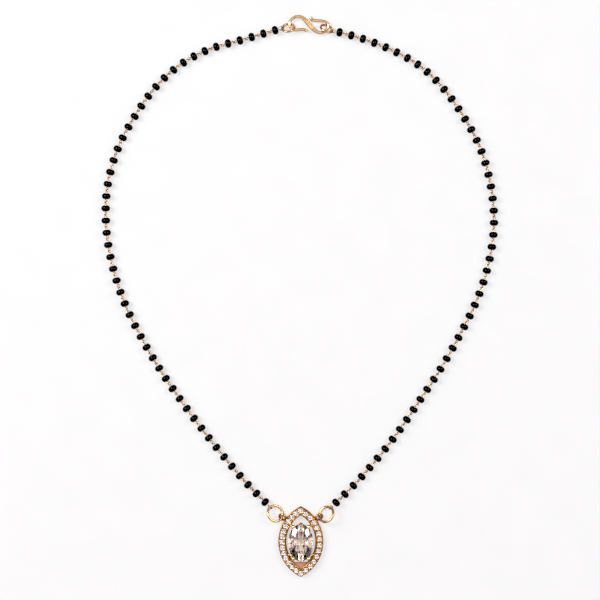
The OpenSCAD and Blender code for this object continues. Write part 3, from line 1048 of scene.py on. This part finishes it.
class Metal(IntEnum):
    """The place of each of the pendant's metal finishes in its list."""

    CAST = 0
    SATIN = 1
    RECESS = 2
    # The recesses' finish is painted shade, darker than the cast gold.
    PRONGS = 3


class Cut(IntEnum):
    """The place of each of the centre stone's finishes in its list."""

    FACETS = 0
    GIRDLE = 1


@dataclass
class CentreStone:
    """The oval brilliant, with a smooth girdle that its facets meet in shallow curves.

    Attributes:
        at: The stone's middle on the table.
        girdle_z: The height of the girdle's lower edge.
        crown: The height of the table over the girdle.
        depth: How far the culet lies under the girdle.
        table: How far out the table's corners are, as a share of the stone's radius.
        star: The same for the star facets' outer corners.
        lower: The same for the lower facets' inner corners.
        girdle_share: The girdle's thickness, as a share of the stone's width.
        fold: How many main facets the crown has.
        parts: How many steps the girdle takes along half a main facet.
    """

    at: tuple[float, float] = (0.34, -83.62)
    girdle_z: float = 3.6
    width: float = 8.5
    length: float = 12.6
    crown: float = 1.15
    depth: float = 3.2
    table: float = 0.56
    star: float = 0.78
    lower: float = 0.22
    girdle_share: float = 0.03
    fold: int = 8
    parts: int = 4

    def corners(self) -> Array:
        """Works out the corners of the facets.

        On a circle the facet beside a main edge is a plane that falls by its slope times
        (1 - cos t) - tan(a quarter of a main facet's turn) sin t, t being the angle from the
        edge, so the girdle's height follows from its angle. The circle is then stretched
        to the oval, which keeps the facets flat.

        Returns:
            The corners of the table, the stars, the girdle's upper and lower edge, the
            lower facets and the culet, in this order.
        """
        eighth, turn = np.pi / self.fold, 2 * np.pi / self.fold
        thick = self.girdle_share * self.width
        count = 2 * self.fold * self.parts
        angle = 2 * np.pi * np.arange(count) / count
        t = np.abs(angle % turn - eighth)
        bulge = (1 - np.cos(t)) - math.tan(eighth / 2) * np.sin(t)
        star_z = self.crown * (1 - self.star * math.cos(eighth)) / (1 - self.table)
        main_z = self.depth * (1 - self.lower * math.cos(eighth))
        mains = np.arange(self.fold) * turn
        # All is turned by half a facet: an edge, and no facet, lies on the long axis.
        points = np.concatenate([
            with_z(round_points(self.table, mains + eighth), thick + self.crown),
            with_z(round_points(self.star, mains + eighth + eighth), thick + star_z),
            with_z(round_points(1, angle + eighth), thick + bulge * star_z / (1 - self.star)),
            with_z(round_points(1, angle + eighth), -bulge * main_z / (1 - self.lower)),
            with_z(round_points(self.lower, mains + eighth + eighth), -main_z),
            [[0, 0, -self.depth]]])
        return points * [self.width / 2, self.length / 2, 1]

    def build(self, materials: Materials) -> bpy.types.Object:
        """Joins the corners into facets, the girdle's wall last.

        Args:
            materials: The necklace's materials.

        Returns:
            The piece that stands for the centre stone.
        """
        fold, count = self.fold, 2 * self.fold * self.parts
        i, j = np.arange(fold), np.arange(count)
        table, star, top, low = i, fold + i, 2 * fold, 2 * fold + count
        main, culet = low + count + i, low + count + fold
        first = 2 * self.parts * i
        near = (first[:, None] + np.arange(self.parts + 1)) % count
        far = (near + self.parts) % count
        stone = Surface.of(self.corners(), [
            table[None],
            np.stack([table, star, np.roll(table, -1)], 1),
            np.stack([table, np.roll(star, 1), top + first, star], 1),
            np.concatenate([star[:, None], top + near], 1),
            np.concatenate([star[:, None], top + far], 1),
            np.concatenate([main[:, None], (low + near)[:, ::-1]], 1),
            np.concatenate([main[:, None], (low + far)[:, ::-1]], 1),
            np.stack([np.full(fold, culet), main, low + first, np.roll(main, 1)], 1),
            np.stack([top + j, low + j, low + (j + 1) % count, top + (j + 1) % count], 1)],
            smooth=False)
        stone.finish[-count:] = Cut.GIRDLE
        finishes = {Cut.FACETS: materials[Finish.CENTRE], Cut.GIRDLE: materials[Finish.GIRDLE]}
        return stone.outward().moved((*self.at, self.girdle_z)).piece(
            "centre_stone_cut", "clear_stones", [finishes[place] for place in Cut],
            ["centre_stone"])


@dataclass
class Setting:
    """The pendant's soldered metal: halo rail with its cups, basket, plate and ears.

    A name that ends in r is a radius, in w a width, in t a thickness, in z or top a height
    over the table, in at, angle or lean an angle and in share a share of another size. A
    name that ends in "in" is a small step inwards, so that one form closes on another.
    Names with steps, points, rings or sides say how fine the mesh is.
    """

    stone: CentreStone
    width: float = 15.3
    height: float = 23.9

    # The rail, its cups and the stones' seats
    rail_w: float = 2.4
    base_t: float = 1.3
    base_in: float = 0.03
    bevel: float = 0.07
    back_edge_share: float = 0.08
    raised_in: float = 0.05
    cup_top: float = 2.05
    cup_r: float = 1.0
    rim_round: float = 0.04
    least_ledge: float = 0.02
    seat_r: float = 0.85
    seat_z: float = 1.98
    hole_r: float = 0.4
    halo_r: float = 0.8
    halo_depth: float = 0.688
    right_stones: int = 12
    left_stones: int = 13
    arc_steps: int = 8
    across_steps: int = 8

    # The raised lip, its inner wall and the narrow ledge at the wall's foot
    lip_w: float = 0.35
    lip_top: float = 2.17
    lip_round: float = 0.12
    lip_low: float = 0.04
    lip_in: float = 0.02
    wall_foot: float = 0.3
    ledge_z: tuple[float, float] = (0.42, 0.36)
    ledge_bevel: tuple[float, float] = (0.04, 0.05)
    oval_steps: int = 80

    # The grains that hold the halo stones
    grain_r: float = 0.3
    post_share: float = 0.9
    grain_points: int = 8
    grain_sides: int = 14

    # The prongs and their arms
    prong_at: float = math.radians(55)
    prong_out: float = 0.3
    prong_up: float = 0.3
    foot_share: float = 0.62
    foot_z: float = 0.3
    prong_r: float = 0.38
    ball_r: float = 0.7
    ball_points: int = 15
    ball_sides: int = 24
    arm_r: float = 0.42
    arm_from_z: float = 2.6
    arm_to_z: float = 1.5
    arm_angles: tuple[float, float] = (33.0, 23.0)
    bar_rings: int = 25
    bar_sides: int = 20
    notch_gap: float = 0.05
    crown_slope: float = 0.65
    depth_slope: float = 0.7

    # The two gallery bands
    band_w: float = 0.6
    band_round: float = 0.09
    band_points: int = 16
    band_steps: int = 60
    low_band_tip: float = 5.04
    mid_band_tip: float = 6.4
    mid_band_z: float = 1.5

    # The plate in the lower point
    plate_z: float = 0.5
    plate_t: float = 0.6
    plate_edge: float = 6.9
    plate_in: float = 0.1
    plate_round: float = 0.06
    plate_share: float = 0.98
    plate_rings: int = 24

    # The ears
    ear_r: float = 1.15
    ear_wire_r: float = 0.33
    ear_fuller: float = 0.05
    ear_angle: float = math.radians(35.6)
    ear_z: float = 1.2
    ear_lean: float = math.radians(40)
    ear_weld: float = 0.25
    ear_steps: int = 48
    ear_sides: int = 20

    def __post_init__(self) -> None:
        """Works out the rail's arcs and where a prong meets the centre stone."""
        half_w, half_h = self.width / 2, self.height / 2
        self.outer_r = (half_w ** 2 + half_h ** 2) / self.width
        self.off = self.outer_r - half_w
        self.inner_r = self.outer_r - self.rail_w
        self.stone_r = self.outer_r - self.rail_w / 2
        self.raised_r = self.stone_r + self.halo_r - self.raised_in
        across, along = math.cos(self.prong_at), math.sin(self.prong_at)
        self.girdle = np.array([self.stone.width / 2 * across, self.stone.length / 2 * along])
        self.girdle_out = unit(np.array([across / self.stone.width, along / self.stone.length]))
        self.prong_top = with_z(self.girdle + self.prong_out * self.girdle_out,
                                self.stone.girdle_z + self.prong_up)
        self.prong_foot = with_z(self.foot_share * self.girdle, self.foot_z)

    def stone_centres(self) -> Array:
        """Places the halo stones clockwise from the upper tip, on the rail's middle arcs.

        Returns:
            The stones' x and y; the first and the last on the right are the tips' stones.
        """
        half = math.acos(self.off / self.stone_r)
        right = 1 - 2 * np.arange(self.right_stones + 2) / (self.right_stones + 1)
        left = 1 - 2 * np.arange(self.left_stones, 0, -1) / (self.left_stones + 1)
        side = np.concatenate([np.ones(len(right)), -np.ones(len(left))])
        return on_arcs(self.off, self.stone_r, half * np.concatenate([right, left]), side)

    def oval(self, off: float, base_r: float, profile: Array, steps: int) -> Surface:
        """Carries a profile round a pointed oval, mitred at its tips.

        A profile point (d, z) runs on the arcs of radius base_r + d about the two centres
        at x = -off and x = off, from the tip where cos = off / radius to the other one.

        Args:
            off: The distance of the arcs' centres from the middle.
            base_r: The radius that the profile starts from.
            profile: Distance out from the base radius, and height, of each point.
            steps: Steps on each of the two arcs.

        Returns:
            The closed band.
        """
        r = base_r + profile[:, 0]
        share = np.linspace(1, -1, steps + 1)[:, None]
        right = with_z(on_arcs(off, r, np.arccos(off / r) * share), profile[:, 1])
        left = (right * [-1, 1, 1])[-2:0:-1]
        return skin(np.concatenate([right, left])[None], Ends.JOINED)

    def edges(self, stones: Array, inner: float, outer: float) -> Array:
        """Traces the edge of each stone's piece of the rail.

        Neighbouring pieces meet on the line half way between their stones. Along the
        rail the edge follows the two arcs; at a tip stone it turns there.

        Args:
            stones: The stones' centres.
            inner: The radius of the inner arcs.
            outer: The radius of the outer arcs.

        Returns:
            The edges, as (stones, points round, 2).
        """
        following = np.roll(stones, -1, axis=0)
        middle = (stones + following) / 2
        along = unit(following - stones)
        out = np.stack([-along[:, 1], along[:, 0]], axis=-1)
        arc_at = np.stack([-np.sign(middle[:, 0]) * self.off, np.zeros(len(middle))], axis=-1)
        out = out * np.sign(np.sum(out * (middle - arc_at), axis=-1))[:, None]
        lean = np.sum((middle - arc_at) * out, axis=-1)
        far = np.sum((middle - arc_at) ** 2, axis=-1)

        def reach(r: float) -> Array:
            """Distance from the middle, along the dividing line, to the arc of radius r."""
            return -lean + np.sqrt(lean ** 2 - far + r * r)

        def rim(r: float) -> Array:
            """Traces every piece's edge along the arcs of one radius.

            Args:
                r: The arcs' radius.

            Returns:
                The points, from the dividing line before each stone to the one after it.
            """
            corner = middle + reach(r)[:, None] * out
            angle = np.arctan2(corner[:, 1], np.abs(corner[:, 0]) + self.off)
            before, tip = np.roll(angle, 1), np.isclose(stones[:, 0], 0)
            turn = np.where(tip, np.sign(stones[:, 1]) * math.acos(self.off / r),
                            (before + angle) / 2)
            share = np.linspace(0, 1, self.arc_steps + 1)
            angles = np.concatenate([before[:, None] + (turn - before)[:, None] * share,
                                     turn[:, None] + (angle - turn)[:, None] * share[1:]], 1)
            side = np.sign(corner[:, 0])
            sides = np.concatenate([np.repeat(np.roll(side, 1)[:, None], self.arc_steps + 1, 1),
                                    np.repeat(side[:, None], self.arc_steps, 1)], axis=1)
            return on_arcs(self.off, r, angles, sides)

        share = (np.arange(self.across_steps) + 1) / (self.across_steps + 1)
        low, high = reach(self.inner_r)[:, None], reach(self.outer_r)[:, None]
        line = middle[:, None] + (high + (low - high) * share)[..., None] * out[:, None]
        back = np.roll(line, 1, axis=0)[:, ::-1]
        return np.concatenate([rim(outer), line, rim(inner)[:, ::-1], back], axis=1)

    def cup_ends(self, stones: Array, ray: Array) -> Array:
        """Works out where rays from each stone's centre leave the raised metal.

        That is the union of the cup's circle, its neighbours' circles and the raised
        band. A ray from p leaves a circle about c, of radius r, at -l + the root of
        (l squared - (p - c) squared + r squared), l being the ray times (p - c).

        Args:
            stones: The stones' centres.
            ray: The rays' directions, as (stones, rays, 2).

        Returns:
            The distance from the stone along each ray.
        """
        end = np.full(ray.shape[:2], np.inf)
        for side in (-1, 1):
            arm = stones[:, None] - np.array([side * self.off, 0.0])
            lean = np.sum(ray * arm, axis=-1)
            end = np.minimum(end, -lean + np.sqrt(lean ** 2 - np.sum(arm ** 2, -1)
                                                  + self.raised_r ** 2))
        end = np.maximum(end, self.cup_r)
        for shift in (-1, 1):
            arm = (np.roll(stones, shift, axis=0) - stones)[:, None]
            lean = np.sum(ray * arm, axis=-1)
            inside = lean ** 2 - np.sum(arm ** 2, axis=-1) + self.cup_r ** 2
            root = np.sqrt(np.clip(inside, 0, None))
            end = np.where((inside > 0) & (lean - root < end), np.maximum(end, lean + root), end)
        return end

    def rail(self) -> Surface:
        """Builds the rail's base and cups, one closed piece round each stone.

        From each stone's centre rays run to the piece's edge. Along a ray lie the back
        hole, the cone under the stone, the straight seat, the cup's rim, the ledge and
        the outer wall.

        Returns:
            The rail, with its cups' sides and the ledges beside them in the finish that paints
            shade into the recesses.
        """
        stones = self.stone_centres()
        inner = self.inner_r + self.base_in
        foot = self.edges(stones, inner, self.outer_r)
        eased = self.edges(stones, inner + self.bevel, self.outer_r - self.bevel)
        centre = stones[:, None]
        ray = unit(foot - centre)
        limit = np.linalg.norm(foot - centre, axis=-1)
        end = self.cup_ends(stones, ray)
        free = end < limit - self.least_ledge
        end = np.minimum(end, limit)
        cone_z = self.seat_z - (self.seat_r - self.hole_r) * self.halo_depth / self.halo_r
        rim, top = self.rim_round, self.cup_top

        def circle(r: float | Array, z: float | Array) -> Array:
            """Points at a distance from the stones' centres, at a height."""
            return with_z(centre + np.broadcast_to(r, limit.shape)[..., None] * ray, z)

        hole, under = circle(self.hole_r, 0), with_z(eased, 0)
        rows = [hole, circle(self.hole_r, cone_z), circle(self.seat_r, self.seat_z),
                circle(self.seat_r, top - rim), circle(self.seat_r + rim, top),
                circle(np.where(free, end - rim, end), top),
                circle(end, np.where(free, top - rim, top)), circle(end, self.base_t),
                with_z(np.where(free[..., None], eased, foot), self.base_t),
                with_z(foot, self.base_t - self.bevel), with_z(foot, self.bevel),
                under, under + (hole - under) * self.back_edge_share]
        columns = limit.shape[1]
        # Counted from 0, row 6 starts the cup's side and row 7 the ledge beside it; these rows get
        # painted shade.
        dark = slice(6 * columns, 8 * columns)
        return skin(np.stack(rows, axis=1), Ends.JOINED).painted(
            len(rows) * columns, dark, Metal.RECESS)

    def grains(self) -> Surface:
        """Builds the small beads on posts that hold the stones, two between each pair.

        They stand on the rail's middle arcs' radius plus and minus a stone's radius, half
        way along the arc between two stones.

        Returns:
            The grains.
        """
        half = math.acos(self.off / self.stone_r)
        places = []
        for side, stones in ((1, self.right_stones), (-1, self.left_stones)):
            share = 1 - 2 * (np.arange(stones + 1) + 0.5) / (stones + 1)
            for r in (self.stone_r - self.halo_r, self.stone_r + self.halo_r):
                places.append(on_arcs(self.off, r, half * share, side))
        centre = with_z(np.concatenate(places), self.cup_top)
        post = self.post_share * self.grain_r
        start = -math.acos(post / self.grain_r)
        ball = round_points(self.grain_r, np.linspace(start, np.pi / 2, self.grain_points))
        ball[-1, 0] = 0
        foot = self.base_t - self.bevel - self.cup_top
        profile = np.concatenate([[[0, foot], [post, foot]], ball])
        return lathe(profile, centre, UP, RIGHT, self.grain_sides, Ends.POINTED)

    def lip(self) -> Surface:
        """Builds the rail's raised, rounded lip and its inner wall.

        Returns:
            The band, with a satin ledge along the foot of its wall.
        """
        w, top, low, e = self.lip_w, self.lip_top, self.lip_low, self.lip_round
        corner = round_points(e, np.linspace(0, np.pi / 2, 4))
        outside = [w - e, top - e] + corner
        inside = [e, top - e] + corner[:, ::-1] * [-1, 1]
        f = self.wall_foot
        foot = [[0, self.ledge_z[0]], [-f, self.ledge_z[1]], [-f, low + self.ledge_bevel[1]],
                [self.ledge_bevel[0] - f, low]]
        profile = np.concatenate([[[w - self.lip_in, low]], outside, inside, foot])
        band = self.oval(self.off, self.inner_r, profile, self.oval_steps)
        return band.painted(len(profile), len(profile) - len(foot), Metal.SATIN)

    def gallery(self, tip: float, z: float) -> Surface:
        """Builds a gallery band: a pointed oval through the four prongs.

        Args:
            tip: The distance from the middle to the band's points.
            z: The height of the band's lower face.

        Returns:
            The band.
        """
        half = self.band_w / 2
        at = self.prong_point(z + half)
        off = (tip * tip - at[0] ** 2 - at[1] ** 2) / (2 * at[0])
        a = 2 * np.pi * (np.arange(self.band_points) + 0.5) / self.band_points
        corner = round_points(self.band_round, a)
        profile = np.sign(corner) * (half - self.band_round) + corner + [0, z + half]
        return self.oval(off, math.hypot(off, tip), profile, self.band_steps)

    def prong_point(self, z: float) -> Array:
        """Gives the point of a prong's middle line at a height."""
        share = (z - self.foot_z) / (self.prong_top[2] - self.foot_z)
        return self.prong_foot + (self.prong_top - self.prong_foot) * share

    def bar(self, start: Array, stop: Array, r: float) -> Surface:
        """Builds a round bar, with rings close enough to be notched.

        Args:
            start: The middle of its first end.
            stop: The middle of its other end.
            r: Its radius.

        Returns:
            The bar.
        """
        share = np.linspace(0, 1, self.bar_rings)[:, None]
        path = start + (stop - start) * share
        # No bar of the basket runs near this direction, which turns its section.
        side = np.array([0.3, -1.0, 0.1])
        return tube(path[None], side, Ends.FLAT, r, self.bar_sides)

    def notched(self, surface: Surface) -> Surface:
        """Moves every point out of the centre stone's room, the shortest way.

        The room is a wedge: it reaches out to the girdle plus a gap, and its upper and
        lower faces slope with the stone's crown and pavilion.

        Args:
            surface: A prong.

        Returns:
            The surface itself, notched.
        """
        flat = surface.points[:, :2] - self.girdle
        q = flat @ self.girdle_out
        h = surface.points[:, 2] - self.stone.girdle_z
        gap = self.notch_gap
        thick = self.stone.girdle_share * self.stone.width
        top = thick + gap + self.crown_slope * (gap - q)
        low = -gap - self.depth_slope * (gap - q)
        moves = np.stack([gap - q, top - h, h - low])
        inside = (moves > 0).all(axis=0)
        out, rise, fall = np.where(inside & (np.argmin(moves, axis=0)
                                             == np.arange(3)[:, None]), moves, 0)
        return surface.moved(with_z(out[:, None] * self.girdle_out, rise - fall))

    def prong(self, low: bool) -> Surface:
        """Builds one prong with its ball and its arm to the rail, in the first quarter.

        Args:
            low: Whether it is one of the lower two, whose arms meet the rail nearer its
                widest place.

        Returns:
            The prong, its ball in the lighter burnished finish that is partly a painted highlight.
        """
        a = np.linspace(-np.pi / 2, np.pi / 2, self.ball_points)
        ball = round_points(self.ball_r, a)
        ball[[0, -1], 0] = 0
        top = lathe(ball, self.prong_top[None], UP, RIGHT, self.ball_sides, Ends.POINTED)
        # The ball's lighter gold is partly a painted highlight.
        top.finish[:] = Metal.PRONGS
        angle = math.radians(self.arm_angles[1 if low else 0])
        arm_to = with_z(on_arcs(self.off, self.inner_r + self.lip_w, angle), self.arm_to_z)
        return self.notched(Surface.joined([
            self.bar(self.prong_foot, self.prong_top, self.prong_r), top,
            self.bar(self.prong_point(self.arm_from_z), arm_to, self.arm_r)]))

    def basket(self) -> Surface:
        """Mirrors a prong to the four quarters and adds the two gallery bands.

        Returns:
            The basket.
        """
        parts = []
        for x in (1, -1):
            for y in (1, -1):
                quarter = self.prong(y < 0)
                quarter.points = quarter.points * [x, y, 1]
                parts.append(quarter.outward())
        parts.append(self.gallery(self.low_band_tip, 0))
        parts.append(self.gallery(self.mid_band_tip, self.mid_band_z))
        return Surface.joined(parts)

    def plate(self) -> Surface:
        """Builds the plate in the lower point: sections from its edge to the rail's tip.

        A section is a flat oblong whose half width is the inner arc's distance from the
        middle at that height.

        Returns:
            The plate, satin.
        """
        r = self.inner_r + self.plate_in
        tip = math.sqrt(r * r - self.off ** 2)
        y = -self.plate_edge - (tip - self.plate_edge) * np.linspace(
            0, self.plate_share, self.plate_rings)
        half = np.sqrt(r * r - y * y) - self.off
        e, t = self.plate_round, self.plate_t
        x = np.array([-1, -1, -0.9, -0.3, 0.3, 0.9, 1, 1, 0.9, 0.3, -0.3, -0.9])
        z = np.array([e, t - e, t, t, t, t, t - e, e, 0, 0, 0, 0])
        shape = (len(y), len(x))
        rings = np.stack([half[:, None] * x, np.broadcast_to(y[:, None], shape),
                          np.broadcast_to(z + self.plate_z, shape)], axis=-1)
        # The first section's lower and upper corners draw back, which rounds the edge.
        rings[0, :, 1] -= np.where((z == 0) | (z == t), e, 0)
        plate = skin(rings[None], Ends.FLAT)
        plate.finish[:] = Metal.SATIN
        return plate

    def ears(self) -> Surface:
        """Builds the two ears on the shoulders, leaning out of the pendant's plane.

        Returns:
            The ears.
        """
        parts = []
        for side in (-1, 1):
            out = np.array([side * math.cos(self.ear_angle), math.sin(self.ear_angle), 0])
            centre = (np.array([-side * self.off, 0, self.ear_z])
                      + (self.outer_r + self.ear_r + self.ear_wire_r - self.ear_weld) * out)
            lean = side * self.ear_lean
            rise = np.cross(UP, out) * math.cos(lean) + UP * math.sin(lean)
            a = 2 * np.pi * np.arange(self.ear_steps) / self.ear_steps
            turn = round_points(self.ear_r, a)
            path = centre + turn[:, :1] * out + turn[:, 1:] * rise
            parts.append(tube(path[None], np.cross(out, rise), Ends.JOINED,
                              self.ear_wire_r + self.ear_fuller, self.ear_sides))
        return Surface.joined(parts)

    def build(self, materials: Materials) -> bpy.types.Object:
        """Builds the metal and puts it in place of the CAD frame.

        Args:
            materials: The necklace's materials.

        Returns:
            The piece that stands for the pendant's frame.
        """
        parts = [self.rail(), self.grains(), self.lip(), self.basket(), self.plate(),
                 self.ears()]
        finishes = {Metal.CAST: materials[Finish.CAST], Metal.SATIN: materials[Finish.SATIN],
                    Metal.RECESS: materials[Finish.RECESS], Metal.PRONGS: materials[Finish.PRONGS]}
        return Surface.joined(parts).moved((*self.stone.at, 0.0)).piece(
            "pendant_metal", "gold_plated_setting", [finishes[place] for place in Metal],
            ["pendant_frame"])


@dataclass
class HaloStones:
    """The small round brilliants, whose CAD nodes stay and get the stone's finish."""

    count: int = 27

    def dress(self, gem: bpy.types.Material) -> None:
        """Gives every halo stone its finish.

        Args:
            gem: The stones' finish.
        """
        for i in range(1, self.count + 1):
            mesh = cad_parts[f"halo_stone_{i:02d}"].data
            mesh.materials.clear()
            mesh.materials.append(gem)
        log.info("halo stones: %d dressed", self.count)


# The studio

@dataclass
class Softbox:
    """A soft light, hung at a distance and turned to the necklace.

    Attributes:
        name: The light's name.
        toward: The direction in x and y that it stands in.
        off_top: How far it stands off straight up, in degrees.
        width_m: Its width in metres; its length is a share of that.
        watts: Its power.
        far_m: Its distance in metres.
    """

    name: str
    toward: tuple[float, float]
    off_top: float
    width_m: float
    watts: float
    length_share: float = 1.2
    far_m: float = 0.8

    def hang(self) -> None:
        """Makes the light and turns its face down its own direction."""
        light = bpy.data.lights.new(self.name, "AREA")
        light.shape = "RECTANGLE"
        light.size = self.width_m
        light.size_y = self.length_share * self.width_m
        light.energy = self.watts
        lean = math.radians(self.off_top)
        flat = unit(np.array(self.toward)) * math.sin(lean)
        place = Vector((flat[0], flat[1], math.cos(lean)))
        made = placed(self.name, light)
        made.location = place * self.far_m
        made.rotation_euler = place.to_track_quat("Z", "Y").to_euler()


@dataclass
class Studio:
    """The white table, its two softboxes, the room round them and the camera above.

    Attributes:
        sheet: The table's finish.
        floor_half: Half the sheet's width, in metres.
        floor_z: How far the sheet lies under the necklace, so that no faces fight.
        field_half: Half the picture's width at the distance field_from.
        sky: The room's strength by the height of the direction, 0 level and 1 straight
            up. It is even low down, strongest high up, and dark in a small round above
            the camera, which flat facets mirror.
        panel_scale: How many panels the room has across its radius.
        panels: The strength of a panel, by the chance number it was given.
        tints: The sRGB tint of a panel, by its other chance number.
        boxes: The softboxes.
        black_level: The linear level that the picture shows as black.
    """

    sheet: WhiteTable = WhiteTable("white_matt_acrylic", "#7a7a7c", "#7d7d7f")
    floor_half: float = 1.5
    floor_z: float = -0.02
    camera_at: tuple[float, float, float] = (0.06, -1.40, 601.5)
    camera_clip: tuple[float, float] = (0.01, 20.0)
    field_half: float = 102.0
    field_from: float = 600.0
    sky: tuple[tuple[float, float], ...] = (
        (0.0, 0.85), (0.3, 0.85), (0.45, 0.9), (0.76, 0.9), (0.83, 2.0), (0.92, 2.0),
        (0.95, 1.3), (0.990, 1.3), (0.992, 0.1), (1.0, 0.1))
    panel_scale: float = 8.0
    panels: tuple[tuple[float, float], ...] = ((0.0, 0.03), (0.32, 0.03), (0.36, 0.85),
                                               (1.0, 1.0))
    tints: tuple[tuple[float, str], ...] = ((0.0, "#ffe0d2"), (0.5, "#fff6f2"),
                                            (1.0, "#e8efff"))
    boxes: tuple[Softbox, ...] = (Softbox("softbox_0", (-0.88, 0.38), 42.0, 0.30, 6.8),
                                  Softbox("softbox_1", (0.9, 0.35), 42.0, 0.26, 3.3))
    black_level: float = 0.012

    def floor(self) -> bpy.types.Object:
        """Lays the table's sheet just under the necklace.

        Returns:
            The sheet.
        """
        h, z = self.floor_half, self.floor_z * MM
        mesh = bpy.data.meshes.new("white_table")
        mesh.from_pydata([(-h, -h, z), (h, -h, z), (h, h, z), (-h, h, z)], [], [(0, 1, 2, 3)])
        mesh.materials.append(self.sheet.material())
        made = placed("white_table", mesh)
        return made

    def room(self) -> None:
        """Lights the room: its strength by height, times brighter and darker panels."""
        world = bpy.data.worlds.new("studio_room")
        world.use_nodes = True
        tree = world.node_tree
        tree.nodes.clear()
        place = add_node(tree, "ShaderNodeTexCoord").outputs["Generated"]
        height = add_node(tree, "ShaderNodeSeparateXYZ", links={"Vector": place}).outputs["Z"]
        panel = add_node(tree, "ShaderNodeTexVoronoi", {"Scale": self.panel_scale},
                         {"Vector": place})
        chance = add_node(tree, "ShaderNodeSeparateColor", links={"Color": panel.outputs["Color"]})
        tint = add_node(tree, "ShaderNodeValToRGB",
                        {"stops": [(at, linear(code)) for at, code in self.tints]},
                        {"Fac": chance.outputs["Green"]})
        level = add_node(tree, "ShaderNodeValToRGB",
                         {"stops": [(at, grey(shade)) for at, shade in self.panels]},
                         {"Fac": chance.outputs["Red"]})
        glow = add_node(tree, "ShaderNodeValToRGB",
                        {"stops": [(at, grey(shade)) for at, shade in self.sky]},
                        {"Fac": height})
        strength = add_node(tree, "ShaderNodeMath", {"operation": "MULTIPLY"},
                            {0: glow.outputs["Color"], 1: level.outputs["Color"]})
        back = add_node(tree, "ShaderNodeBackground", links={
            "Color": tint.outputs["Color"], "Strength": strength.outputs["Value"]})
        add_node(tree, "ShaderNodeOutputWorld", links={"Surface": back.outputs["Background"]})
        bpy.context.scene.world = world

    def camera(self) -> None:
        """Sets the camera straight above the table, with the photograph's field."""
        data = bpy.data.cameras.new("camera")
        data.sensor_fit = "HORIZONTAL"
        data.angle = 2 * math.atan(self.field_half / self.field_from)
        data.clip_start, data.clip_end = self.camera_clip
        made = placed("camera", data)
        made.location = Vector(self.camera_at) * MM
        bpy.context.scene.camera = made

    def build(self) -> None:
        """Sets up the table, the light, the camera and how colours are shown."""
        self.floor()
        self.room()
        for box in self.boxes:
            box.hang()
        self.camera()
        shown = bpy.context.scene.view_settings
        shown.view_transform = "Standard"
        shown.look = "None"
        shown.use_curve_mapping = True
        shown.curve_mapping.black_level = (self.black_level,) * 3
        shown.curve_mapping.update()
        log.info("studio: table, room, %d softboxes and camera", len(self.boxes))


def main() -> None:
    """Builds every piece."""
    logging.basicConfig(level=logging.INFO, format="%(name)s: %(message)s")
    materials = {finish: finish.value.material() for finish in Finish}
    Studio().build()
    for name, seed in (("left", 11), ("right", 12)):
        Strand(name, seed).build(materials)
    for node, cut_at in (("jump_ring_left", 2.2), ("jump_ring_right", 0.9),
                         ("clasp_ring_left", 1.4), ("clasp_ring_right", 2.4)):
        Ring(node, cut_at).build(materials[Finish.RINGS])
    Hook().build(materials[Finish.HOOK])
    stone = CentreStone()
    Setting(stone).build(materials)
    stone.build(materials)
    HaloStones().dress(materials[Finish.HALO])
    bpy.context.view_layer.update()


if __name__ == "__main__":
    main()
